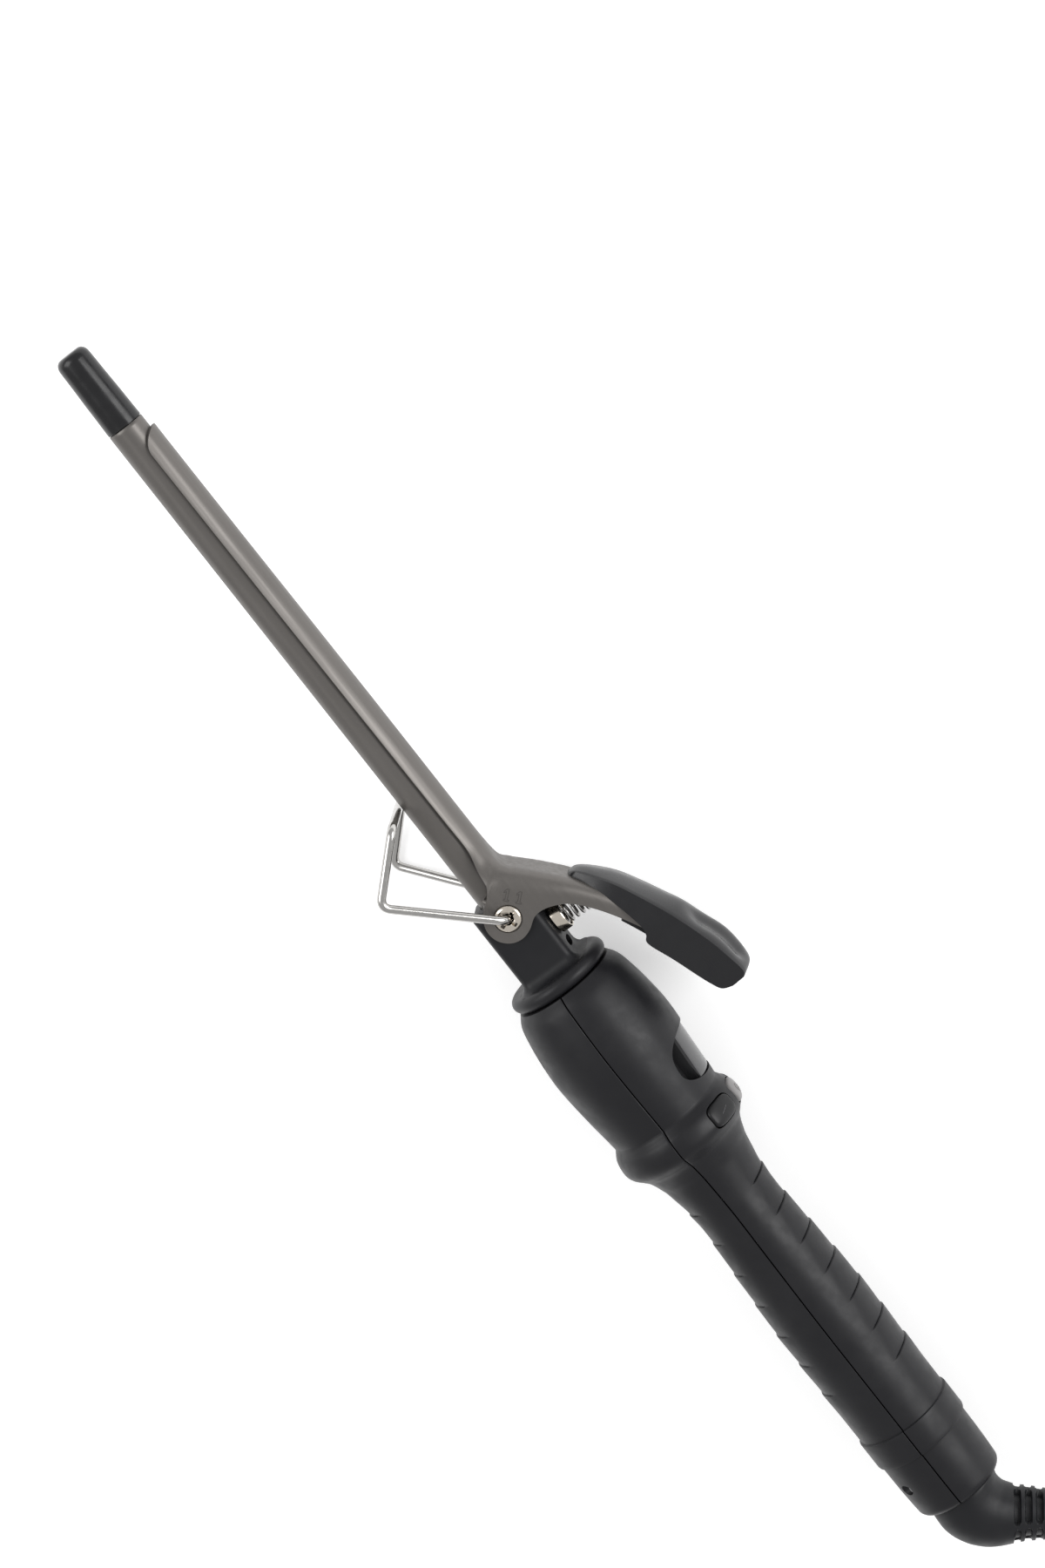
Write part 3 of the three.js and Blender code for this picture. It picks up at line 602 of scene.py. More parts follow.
def two_arcs(t):
    """Eases from 0 to 1 as an S of two equal bends."""
    return 2 * t * t if t < 0.5 else 1 - 2 * (1 - t) ** 2


def cord_route():
    """From the strain relief down to the table, round the hank and back to the plug."""
    entry = HANK_Y + FOLD_R
    start = [
        tuple(arm_point(ARM_LENGTH - 4)), tuple(arm_point(ARM_LENGTH + 0.3)),
        tuple(arm_point(ARM_LENGTH + 8) + Vector((0, 0, -0.2))),
        (460, 48.6, -1.6), (467, 54, -5.2), (475.5, 56.8, -10.4), (484.5, entry, -15.4),
        (494, entry, -18.8), (500, entry, ON_FLOOR + 0.05), (HANK_START - 0.3, entry, ON_FLOOR),
        (HANK_START + 14, entry, ON_FLOOR),
    ]
    first, second, third = (ON_FLOOR + 1.4 + CORD_D * k for k in range(3))
    inner = FOLD_R - CORD_D
    laps = hank_lap(FOLD_R, first, inner, first)
    laps += hank_lap(inner, first, inner, second)
    laps += hank_lap(inner, second, FOLD_R, second)
    laps += hank_lap(FOLD_R, second, FOLD_R, third)
    laps += hank_lap(FOLD_R, third, FOLD_R, third, half=True)
    tail = []
    for k in range(13):
        t = k / 12
        x = mix(HANK_FAR, PLUG_BACK, t)
        y = mix(HANK_Y - FOLD_R, PLUG_Y, two_arcs(t))
        tail.append((x, y, mix(third, PLUG_Z, two_arcs(max(0, (t - 0.1) / 0.9)))))
    tail.append((PLUG_BACK - 2, PLUG_Y, PLUG_Z))
    coarse = start + laps + tail
    fine = through([Vector(p) for p in coarse], len(coarse) * 4)
    return resampled(fine, 2.2)


def cord():
    path = [Vector(p) for p in cord_route()]
    piece = sweep("mains_lead", path, CORD_D / 2, 14)
    finished(piece, None, "cord_sheath", CORD, "cord", "cord_hank", "cord_tail")
    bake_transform(piece)
    return piece, [row(*p) for p in path]


def cord_tie():
    """A narrow strap round the hank's waist, its end lapped over the top and tucked."""
    middle = centre("cord_tie")
    half = high("cord_tie") - middle
    outline = ellipse_outline(middle.y, middle.z, half.y - 0.6, half.z - 0.6, 2 / 0.42, 56)
    rings = []
    for x, inset in ((-1, 0.25), (-0.96, 0), (0.96, 0), (1, 0.25)):
        place = middle.x + half.x * x
        rings.append([Vector((place, mix(y, middle.y, inset / half.y),
                              mix(z, middle.z, inset / half.z))) for y, z in outline])
    band = thickened(loft("tie_band", rings, capped=False), 1.1, 0)
    tab = loft("tie_tab", [
        [Vector((middle.x + dx, y, middle.z + half.z - 0.4 + lift)) for dx in (-4.6, 4.6)]
        for y, lift in ((middle.y - 9, 0.1), (middle.y - 2, 0.3), (middle.y + 5, 0.25),
                        (middle.y + 9, -0.1))
    ], closed_ring=False, capped=False)
    tab = thickened(tab, 0.8, 0)
    return finished(joined("cord_strap", [band, tab]), "handle", "cord_sheath", CORD, "cord_tie")


def plug():
    """A flat moulded two-pin plug with finger hollows and a ribbed neck."""
    rings = []
    count = 40
    stations = [
        (0.0, 13.6, 5.6), (0.8, 14.6, 6.6), (3, 15.6, 6.9), (8, 17.2, 6.9), (12, 17.6, 6.9),
        (16, 16.4, 6.9), (21, 12.6, 6.6), (26, 8.8, 6.2), (30, 7.0, 5.8), (34, 6.2, 5.4),
        (38, 5.4, 5.0), (42, 4.4, 4.4),
    ]
    for x, half_y, half_z in through(stations, 44):
        power = mix(4.0, 2.0, ease(x, 22, 40))
        ring = ellipse_outline(PLUG_Y, PLUG_Z, half_y, half_z, power, count)
        rings.append([Vector((PLUG_FRONT + x, y, z)) for y, z in ring])
    body = loft("plug_moulding", rings)
    for k in range(4):
        place = Matrix.Translation((PLUG_FRONT + 31.15 + 2.9 * k, PLUG_Y, PLUG_Z))
        for side in (-1, 1):
            cut = prism("slot", box_outline(0.65, 2.6), side * 4.1, side * 9)
            carve(body, moved(cut, place))
    body = finished(body, "handle", "plug_plastic", SATIN_BLACK, "plug_body")
    pins = []
    for pole in ("live", "neutral"):
        front = low("plug_pin_" + pole).x
        back = high("plug_pin_" + pole).x
        place = Matrix.Translation((front, centre("plug_pin_" + pole).y, PLUG_Z))
        tip = lathe("pin_" + pole, [
            (0, 0.7), (0.25, 1.3), (0.8, 1.75), (1.6, 1.98), (11.4, 1.98), (11.5, 1.9),
        ], 28)
        moved(tip, place)
        pins.append(finished(tip, "handle", "contact_brass", NICKEL, "plug_pin_" + pole))
        collar = lathe("pin_collar_" + pole, [(11.4, 1.9), (11.6, 2.0), (back - front, 2.0)], 28)
        moved(collar, place)
        pins.append(finished(collar, "handle", "plug_plastic", SATIN_BLACK))
    return [body, *pins]


# ---------------------------------------------------------------- barrel end
def cool_tip():
    """The cap at the barrel's end: a flat face, a rounded shoulder and a slight taper."""
    nose = [(TIP_START, 0.01), (TIP_START, 2.9)]
    nose += arc((TIP_START + 2.7, 2.9), (2.7, 2.2), 2, 1, 10)
    body = [(4, 5.17), (8, 5.25), (12, 5.35), (20, 5.47), (BARREL_START - 0.35, 5.5),
            (BARREL_START - 0.25, 5.4), (BARREL_START - 0.25, 4.4), (BARREL_START + 6, 4.3)]
    tip = lathe("tip_cap", nose + body, 72)
    return finished(tip, "handle", "black_plastic", GLOSS_BLACK, "cool_tip")


def barrel():
    """The heated tube, open at both ends."""
    bore = BARREL_R - 0.9
    skin = lathe("barrel_skin", [
        (BARREL_START + 2, bore), (BARREL_START, bore),
        (BARREL_START, BARREL_R - 0.15), (BARREL_START + 0.2, BARREL_R),
        *((mix(BARREL_START + 1, NECK_START, k / 30), BARREL_R) for k in range(31)),
        (BARREL_END, BARREL_R), (BARREL_END, bore),
    ], 96, capped=False)
    return finished(skin, "handle", "coated_metal", COATED, "barrel")


# ---------------------------------------------------------------- clamp
SHEET = 1.1
EAR_Z = 10.1


def across_at_hinge(side):
    """Turns a piece drawn along x to lie along the hinge's line, on one side."""
    return Matrix.Translation((HINGE.x, HINGE.y, 0)) @ Matrix.Rotation(-pi / 2 * side, 4, "Y")


# The clamp's ears and lever, as sections: the middle of the top (x, y), the lower edge (x, y),
# half the width and how round the upper corners are.
LEVER = [
    (166, 7.35, 166, 3.24, 6.6, 5), (174, 7.36, 174, 3.4, 6.75, 5),
    (178.4, 7.36, 179.5, 3.3, 8.1, 6.5), (180.8, 7.4, 184.5, 2.2, 9.5, 7),
    (182.4, 7.6, 188.0, 0.0, 10.05, 6.5), (183.6, 8.1, 190.2, -2.9, 10.1, 5.6),
    (184.7, 8.9, 192.8, -5.0, 10.1, 5), (185.9, 9.9, 196.2, -6.1, 10.1, 5),
    (187.2, 11.2, 199.8, -5.4, 10.1, 5), (188.7, 12.7, 202.6, -2.8, 10.1, 5),
    (190.2, 14.2, 203.5, 0.6, 10.1, 5), (191.8, 15.7, 202.6, 4.0, 10.1, 5),
    (194.6, 18.2, 200.3, 7.8, 10.0, 5), (197.6, 20.7, 200.7, 12.4, 9.7, 4.6),
    (202.2, 24.0, 204.0, 18.0, 9.0, 4), (210.0, 28.6, 212.0, 24.0, 8.0, 3),
    (222.0, 34.2, 222.8, 29.8, 7.2, 2.4), (232.0, 37.9, 231.5, 33.4, 7.0, 2),
    (240.0, 40.3, 239.0, 36.6, 7.0, 2),
]
BLADE_END = 165


def blade_half_angle(x):
    """The blade wraps a little further round the barrel at its front than at the hinge."""
    return radians(mix(71, 63.9, (x - BLADE_START) / (BLADE_END + 1 - BLADE_START)))


def lever_section(u, steps):
    """Half of the sheet's section, from the middle of its top to its lower edge: part of a
    circle behind the blade, easing into a folded channel."""
    top_x, top_y, edge_x, edge_y, half, corner = catmull(LEVER, u)
    fold = ease(top_x, 172, 186)
    span = blade_half_angle(BLADE_END)
    down = Vector((edge_x - top_x, edge_y - top_y, 0))
    depth = down.length
    down.normalize()
    flat = half - corner
    bend = pi / 2 * corner
    length = flat + bend + max(depth - corner, 0)
    points = []
    for k in range(steps + 1):
        angle = span * k / steps
        round_z = half * sin(angle) / sin(span)
        round_drop = depth * (1 - cos(angle)) / (1 - cos(span))
        travel = length * k / steps
        if travel < flat:
            fold_z, fold_drop = travel, 0
        elif travel < flat + bend:
            a = (travel - flat) / corner
            fold_z, fold_drop = flat + corner * sin(a), corner * (1 - cos(a))
        else:
            fold_z, fold_drop = half, corner + travel - flat - bend
        drop = mix(round_drop, fold_drop, fold)
        z = mix(round_z, fold_z, fold)
        points.append(Vector((top_x, top_y, z)) + down * drop)
    return points


def clamp_plate():
    """The clamp: one bent sheet, blade, ears and lever."""
    rings = []
    across = 22
    nose = 6.5
    for k in range(100):
        x = mix(BLADE_START, BLADE_END, (k / 99) ** 1.6)
        reach = min(1, (x - BLADE_START) / nose)
        span = blade_half_angle(x) * sqrt(max(1 - (1 - reach) ** 2, 0.0004))
        outer = mix(6.9, 7.35, ease(x, 30, 140))
        rings.append([about_axis(x, outer, span * j / across) for j in range(across + 1)])
    stations = 150
    rings += [lever_section(k / (stations - 1), across) for k in range(stations)]
    whole = [mirrored(half[1:]) + half for half in rings]
    sheet = loft("clamp_sheet", whole, closed_ring=False, capped=False)
    facing = max(sheet.data.polygons, key=lambda face: face.center.z).normal.z
    thickened(sheet, SHEET, -1 if facing > 0 else 1)
    holes = []
    for side in (-1, 1):
        disc = lathe("hole", [(EAR_Z - 3.5, 4.15), (EAR_Z + 3, 4.15)], 64)
        holes.append(moved(disc, across_at_hinge(side)))
    carve(sheet, *holes)
    return finished(sheet, "clamp", "coated_metal", COATED, "clamp_plate", sharp=50)


def hinge_washer(side):
    """The recessed face that a screw's head sits in, on one side."""
    washer = lathe_ring("hinge_recess_left" if side > 0 else "hinge_recess_right", [
        (EAR_Z - 1.2, 2.6), (EAR_Z - 1.2, 4.3), (EAR_Z - 0.55, 4.3), (EAR_Z - 0.55, 2.6)], 64)
    moved(washer, across_at_hinge(side))
    return finished(washer, "clamp", "coated_metal", COATED)


def size_numerals():
    """The barrel's diameter of 11 mm, stamped beside the hinge: the outline of a 1, twice."""
    middle = Vector((192.1, 6.2, EAR_Z + 0.02))
    along = Vector((0.75, 0.66, 0)).normalized()
    tall = Vector((-0.66, 0.75, 0)).normalized()
    one = [(-0.75, -1.8), (0.75, -1.8), (0.75, -1.3), (0.33, -1.3), (0.33, 1.8), (-0.2, 1.8),
           (-0.95, 1.05), (-0.95, 0.55), (-0.33, 1.0), (-0.33, -1.3), (-0.75, -1.3), (-0.75, -1.8)]
    parts = []
    for shift in (-1.8, 1.8):
        stroke = [middle + along * (shift + a) + tall * b for a, b in one]
        parts.append(sweep("numeral", resampled(stroke, 0.25), 0.09, 6))
    # The strokes are painted shade: dark lines along the edges of the stamped figures.
    return finished(joined("size_numerals", parts), "clamp", "coated_metal", ENGRAVED_SHADE)


# The thumb rest, as sections: its top edge (x, y), its bottom (x, y), half its width and how
# far its crown rises above the edge.
THUMB = [
    (197.3, 21.5, 197.6, 20.4, 1.6, 0.2), (197.8, 23.0, 198.6, 21.2, 3.6, 0.4),
    (199.6, 25.0, 200.9, 22.8, 4.9, 0.8), (203.2, 28.1, 204.7, 24.9, 6.4, 1.1),
    (207.4, 31.1, 209.2, 26.8, 7.5, 1.3), (212.7, 33.9, 214.4, 28.2, 8.3, 1.6),
    (219.4, 37.0, 220.6, 29.4, 8.7, 2.2), (224.2, 38.9, 223.5, 29.1, 8.9, 3.1),
    (229.6, 40.8, 226.0, 28.0, 8.9, 3.7), (236.4, 42.8, 234.0, 31.0, 8.9, 4.3),
    (242.4, 44.1, 241.4, 33.5, 8.8, 3.6), (246.4, 44.8, 245.8, 35.1, 8.6, 2.5),
    (248.8, 44.8, 248.9, 36.7, 8.3, 1.7), (249.9, 43.8, 250.2, 39.6, 7.9, 1.0),
]


def thumb_section(u):
    """A section: a crowned top, hollowed for the thumb towards its end, and flat sides."""
    edge_x, edge_y, base_x, base_y, half, crown = catmull(THUMB, u)
    base = Vector((base_x, base_y, 0))
    up = Vector((edge_x, edge_y, 0)) - base
    height = up.length
    up.normalize()
    hollow = 2.3 * ease(edge_x, 223, 231) * (1 - ease(edge_x, 243, 249))
    soft = min(0.7, height * 0.3)
    ring = []
    across = 28
    for j in range(across + 1):
        z = mix(half - soft, soft - half, j / across)
        rise = crown * (1 - (abs(z) / half) ** 1.7)
        dip = hollow * exp(-((z - 2.0) / (0.42 * half)) ** 2)
        ring.append(base + up * (height + rise - dip) + Vector((0, 0, z)))
    steps = [height - soft * 0.3, height - soft, height * 0.5, soft * 0.5, 0]
    ring += [base + up * step + Vector((0, 0, -half)) for step in steps]
    ring += [base + Vector((0, 0, mix(-half, half, j / 6))) for j in range(1, 6)]
    ring += [base + up * step + Vector((0, 0, half)) for step in reversed(steps)]
    return ring


def thumb_rest():
    """The thumb rest clipped over the lever."""
    count = 90
    cap = loft("thumb_cap", [thumb_section(k / (count - 1)) for k in range(count)])
    return finished(cap, "clamp", "black_plastic", THUMB_PLASTIC, "thumb_rest", sharp=48)


def lever_liner():
    """The dark strip under the lever, where the thumb rest clips in."""
    rings = []
    for x, y in through([(216.6, 25.9), (221, 27.9), (226, 30.0), (238, 35.0)], 14):
        rings.append([Vector((x - 0.3, y + 1.8, z)) for z in (-5.4, 5.4)]
                     + [Vector((x, y - 0.6, z)) for z in (5.9, -5.9)])
    strip = rounded(loft("lever_liner", rings), 0.25, 2)
    return finished(strip, "clamp", "black_plastic", BUTTON_BLACK, "thumb_rest_clip")


# ---------------------------------------------------------------- hinge, spring and stand
def driver_slot(x, angle):
    """Turns a bar drawn in x and y to lie across a screw's head at x."""
    return (Matrix.Translation((x, 0, 0)) @ Matrix.Rotation(pi / 2, 4, "Y")
            @ Matrix.Rotation(angle, 4, "Z"))


def pivot_screw(side, node):
    """A hollow cross-head screw: the stand's wire turns in its bore."""
    under = EAR_Z - 1.4
    dome = [(HEAD_TOP - 6.4, 1.75), (HEAD_TOP - 6.4, 2.25), (under, 2.25), (under, 3.65),
            (under + 0.25, 3.85), (HEAD_TOP - 0.75, 3.85)]
    dome += arc((HEAD_TOP - 0.75, 2.1), (0.75, 1.75), 1, 0, 7)
    dome += [(HEAD_TOP - 0.15, 1.75)]
    screw = lathe_ring("hinge_" + node, dome, 64)
    for angle in (radians(20), radians(110)):
        bar = rounded(prism("slot", box_outline(3.05, 0.62), -2.3, 1.0, "z"), 0.25, 2)
        carve(screw, moved(bar, driver_slot(HEAD_TOP + 0.25, angle)))
    moved(screw, across_at_hinge(side))
    return finished(screw, "handle", "nickel", NICKEL, node)


def upright_at(x, z):
    """Turns a piece drawn along x to stand along y."""
    return Matrix.Translation((x, 0, z)) @ Matrix.Rotation(pi / 2, 4, "Z")


def spring_and_seat():
    """The clamp's coil spring, which the lever presses, and the cup that it stands in."""
    lo = low("spring_seat")
    hi = high("spring_seat")
    x = centre("spring_seat").x
    cup = lathe_ring("spring_cup", [
        (lo.y, 0.9), (lo.y, 4.4), (lo.y + 0.4, 4.9), (hi.y - 0.3, 4.9), (hi.y, 4.7),
        (hi.y - 0.1, 4.35), (lo.y + 0.9, 4.2), (lo.y + 0.8, 0.9)], 64)
    finished(moved(cup, upright_at(x, 0)), "handle", "nickel", NICKEL, "spring_seat")
    spring_lo = low("clamp_spring").y + 0.45
    spring_hi = high("clamp_spring").y - 0.45
    coil = []
    steps = int(6.5 * 28)
    for k in range(steps + 1):
        a = 2 * pi * k / 28
        t = k / steps
        # the end turns lie nearly flat, as on a ground compression spring
        rise = ease(t, 0.0, 1.0) * 0.35 + t * 0.65
        y = mix(spring_lo, spring_hi, rise)
        coil.append(Vector((x + 3.5 * cos(a), y, 3.5 * sin(a))))
    spring = sweep("clamp_coil", coil, 0.45, 12)
    finished(spring, None, "spring_steel", SPRING, "clamp_spring")
    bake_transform(spring)


def fillet(corners, bend, step=0.7):
    """Straight runs joined by round bends that start `bend` before each corner."""
    points = [corners[0]]
    for a, corner, b in zip(corners, corners[1:], corners[2:]):
        before = corner.lerp(a, bend / (corner - a).length)
        after = corner.lerp(b, bend / (corner - b).length)
        for k in range(13):
            t = k / 12
            points.append(before.lerp(corner, t).lerp(corner.lerp(after, t), t))
    points.append(corners[-1])
    return resampled(points, step)


def stand():
    """The wire stand: pegs in the hinge screws, two splayed legs and a cross bar below."""
    bar_x = low("stand_wire").x + WIRE_R + 0.55
    corner = Vector((170.4, -23.1, high("stand_wire").z - WIRE_R + 0.3))
    half = [
        Vector((HINGE.x, HINGE.y, BARREL_R + 2.2)),
        Vector((HINGE.x, HINGE.y, HEAD_TOP + 0.3 + WIRE_R)),
        corner,
        Vector((bar_x, -BARREL_R - 0.3 - WIRE_R, 19.0)),
    ]
    wire = sweep("stand_bail", fillet(half + mirrored(half), 3.2), WIRE_R, 20)
    return finished(wire, "stand", "chrome_wire", CHROME, "stand_wire")


# ---------------------------------------------------------------- neck and ring
def neck_block():
    """The rectangular block that carries the hinge, flared where it meets the guard ring."""
    low_y = low("neck_block").y
    high_y = high("neck_block").y
    half_z = half_across("neck_block")
    rings = []
    stations = [(NECK_START, -0.9), (NECK_START + 0.25, -0.35), (NECK_START + 0.9, 0.0)]
    length = RING_START - NECK_START - 4.2
    stations += [(NECK_START + 0.9 + length * k / 8, 0.0) for k in range(1, 9)]
    stations += arc((RING_START - 3.3, 3.0), (3.3, 3.0), -1, 0, 8)
    for x, grow in stations:
        corner = 2.3 + max(grow, 0)
        top, bottom, side = high_y + grow, low_y - grow, half_z + grow
        centres = ((top - corner, side - corner), (bottom + corner, side - corner),
                   (bottom + corner, corner - side), (top - corner, corner - side))
        ring = []
        for quarter, (cy, cz) in enumerate(centres):
            for j in range(9):
                a = pi / 2 * (quarter + j / 8)
                ring.append(Vector((x, cy + corner * cos(a), cz + corner * sin(a))))
        rings.append(ring)
    block = loft("neck", rings)
    bore = lathe("bore", [(NECK_START - 2, BARREL_R + 0.3), (BARREL_END, BARREL_R + 0.3)], 72)
    pocket = prism("pocket", ellipse_outline(213.6, 0, 1.5, 3.2, 2.6, 32), high_y - 2.5, high_y + 4)
    pivots = []
    for side in (-1, 1):
        hole = lathe("pivot", [(BARREL_R + 0.6, 2.6), (20, 2.6)], 40)
        pivots.append(moved(hole, across_at_hinge(side)))
    carve(block, bore, pocket, *pivots)
    return finished(block, "handle", "black_plastic", NECK_PLASTIC, "neck_block")


def guard_ring():
    """The round-rimmed flange before the handle."""
    rim = 2.3
    bore = 6.5
    spigot = 12.0
    back = RING_START + 2 * rim
    outline = [(RING_START, bore), (RING_START, RING_R - rim)]
    outline += arc((RING_START + rim, RING_R - rim), (rim, rim), 2, 0, 16)
    outline += [(back, spigot), (back + 3, spigot), (back + 3, bore)]
    ring = lathe_ring("hand_guard", outline, 128)
    return finished(ring, "handle", "soft_touch", SOFT_TOUCH, "guard_ring")


# ---------------------------------------------------------------- handle
GRIP_LINES = 7
GRIP_FIRST = 299.8
GRIP_PITCH = 11.05
GRIP_STEP = 0.42


def handle_outline():
    """The handle's outside as (x, radius), from the guard ring to the swivel."""
    belly = through([(HANDLE_START, 15.4), (226, 17.45), (231, 18.6), (237, 19.45),
                     (246, 20.05), (258, 19.3), (266, 18.45), (270.4, 18.0)], 60)
    hand = through([(270.4, 18.0), (271.2, 18.25), (272.4, 19.0), (273.8, 19.8), (276, 20.3),
                    (278.5, 20.35), (280.5, 19.6), (282.4, 17.95), (284.2, 16.5), (287.5, 15.1),
                    (292, 13.9), (304, 12.55), (320, 13.4), (332, 14.1), (345, GRIP_R),
                    (365, GRIP_R + 0.1), (BAND_START, GRIP_R)], 260)
    tail = [(BAND_START + 0.25, GRIP_R + 0.55), (BAND_START + 0.6, GRIP_R + 0.62)]
    tail += [(mix(BAND_START + 1.5, BAND_END - 0.6, k / 6), GRIP_R + 0.62) for k in range(7)]
    tail += [(BAND_END - 0.15, GRIP_R + 0.5), (BAND_END + 0.1, GRIP_R - 0.12)]
    tail += through([(BAND_END + 1, GRIP_R - 0.15), (404, 14.45), (HANDLE_END - 2.4, 14.1)], 12)
    tail += arc((HANDLE_END - 2.4, 11.7), (2.4, 2.4), 1, 0, 8)
    return belly + hand[1:] + tail


HANDLE_OUTLINE = handle_outline()


def handle_radius(x):
    """The handle's outside radius at a place along it."""
    for a, b in zip(HANDLE_OUTLINE, HANDLE_OUTLINE[1:]):
        if a[0] <= x <= b[0] and b[0] > a[0]:
            return mix(a[1], b[1], (x - a[0]) / (b[0] - a[0]))
    return HANDLE_OUTLINE[-1][1]


def grip_place(x, angle, full, none):
    """How far along the grip's scales a place is, counted in scales, and how strong they are
    there: they fade out between two angles from the top or the bottom of the grip."""
    around = abs(angle)
    top = around < pi / 2
    off = around if top else pi - around
    weight = 1 - ease(off, radians(full), radians(none))
    slant = (off / radians(45)) ** 2 if top else -0.4
    return (x - slant - GRIP_FIRST) / GRIP_PITCH, weight, top


def grip_step(x, angle):
    """The overlapping scales on the grip: out at each line, easing back before the next."""
    place, weight, _ = grip_place(x, angle, 34, 50)
    index = floor(place)
    part = place - index
    if index < -1 or index > GRIP_LINES - 1:
        return 0
    if index == -1:
        return -GRIP_STEP * 0.5 * ease(part, 0.3, 1.0) * weight
    if index == GRIP_LINES - 1:
        return GRIP_STEP * 0.5 * (1 - ease(part, 0.0, 0.9)) * weight
    return GRIP_STEP * (0.5 - part) * weight


def grip_groove(x, angle):
    """The fine dark line in front of each scale, fainter below."""
    place, weight, top = grip_place(x, angle, 38, 46)
    nearest = round(place)
    if nearest < 0 or nearest > GRIP_LINES - 1:
        return 0
    away = abs(place - nearest) * GRIP_PITCH
    depth = 0.3 if top else 0.07
    return -depth * weight * max(0, 1 - away / 0.22)


def handle_rows():
    """Stations along the handle, close together at each grip line."""
    stations = list(HANDLE_OUTLINE)
    for k in range(GRIP_LINES):
        line = GRIP_FIRST + GRIP_PITCH * k
        for j in range(-10, 17):
            x = line + 0.11 * j
            stations.append((x, handle_radius(x)))
    stations.sort(key=lambda station: station[0])
    spaced = []
    for x, r in stations:
        if not spaced or x - spaced[-1][0] > 0.02 or abs(r - spaced[-1][1]) > 0.02:
            spaced.append((x, r))
    return spaced


def shell(name, first, last):
    """One half of the handle between two angles from the clamp's side, as a hollow skin."""
    wall = 2.0
    front_bore = 12.3
    swivel_bore = 9.9
    half_gap = 0.2
    columns = 112
    side = cos((first + last) / 2)

    def clear_of_parting(point):
        if abs(point.y) < half_gap:
            point.y = copysign(half_gap, side)
        return point

    rings = []
    for x, r in handle_rows():
        bore = front_bore if x < HANDLE_START + 2 else r - wall
        if x > HANDLE_END - 3.3:
            bore = swivel_bore
        outer = []
        inner = []
        for j in range(columns + 1):
            # a little closer together at the two parting edges
            u = j / columns - 0.055 * sin(2 * pi * j / columns)
            angle = mix(first, last, u)
            signed = atan2(sin(angle), cos(angle))
            edge = min(u, 1 - u) * (last - first) * r
            radius = r + grip_step(x, signed) + grip_groove(x, signed)
            radius -= 0.1 * (1 - ease(edge, 0.0, 0.4))
            outer.append(clear_of_parting(about_axis(x, radius, angle)))
            inner.append(clear_of_parting(about_axis(x, bore, angle)))
        rings.append(outer + inner[::-1])
    return loft(name, rings)


def display_outline(half_length, half_width):
    return ellipse_outline(DISPLAY_X, 0, half_length, half_width, 2.8, 72)


# Each key's angle round the handle, half length and half width.
BUTTONS = {"power": (0.0, 3.4, 4.4), "plus": (-CONTROL_ANGLE, 3.4, 5.2),
           "minus": (CONTROL_ANGLE, 3.4, 5.2)}
KEY_GAP = 0.38
KEY_PROUD = 0.5


def key_outline(half_length, half_width, count):
    return ellipse_outline(0, 0, half_length, half_width, 3.6, count)


def key_place(angle):
    """Turns a key drawn pointing along y to its place on the handle."""
    return Matrix.Translation((CONTROL_X, 0, 0)) @ Matrix.Rotation(angle, 4, "X")


def handle():
    """The two shells, with the display's and the keys' openings above and screws below."""
    quarter = pi / 2
    upper = shell("handle_upper", -quarter, quarter)
    carve(upper, prism("display_hole", display_outline(7.8, 13.8), 10.5, 24))
    for angle, half_length, half_width in BUTTONS.values():
        outline = key_outline(half_length + KEY_GAP, half_width + KEY_GAP, 56)
        carve(upper, moved(prism("key_hole", outline, 12, 24), key_place(angle)))
    finished(upper, "handle", "soft_touch", SOFT_TOUCH, "upper_shell", sharp=32)
    lower = shell("handle_lower", quarter, 3 * quarter)
    screws = [end + side for side in ("left", "right") for end in ("front_screw_", "tail_screw_")]
    for node in screws:
        at = centre(node)
        carve(lower, prism("hole", ellipse_outline(at.x, at.z, 1.8, 1.8, 2, 32), -22, -8))
    finished(lower, "handle", "soft_touch", SOFT_TOUCH, "lower_shell", sharp=32)
    for node in screws:
        handle_screw(node)


def handle_screw(node):
    """A small cross-head screw deep in its hole in the lower shell."""
    lo = low(node)
    hi = high(node)
    middle = centre(node)
    screw = lathe("case_" + node, [(lo.y, 1.1), (lo.y + 0.3, 1.45), (lo.y + 1.4, 1.45),
                                   (lo.y + 1.4, 0.9), (hi.y, 0.9)], 32)
    for angle in (0.3, 0.3 + pi / 2):
        bar = prism("slot", box_outline(1.0, 0.2), -0.6, 0.6, "z")
        carve(screw, moved(bar, driver_slot(lo.y, angle)))
    moved(screw, upright_at(middle.x, middle.z))
    # The dark steel is painted shade: the screw sits deep in its hole.
    return finished(screw, "handle", "nickel", SHADED_SCREW_STEEL, node)


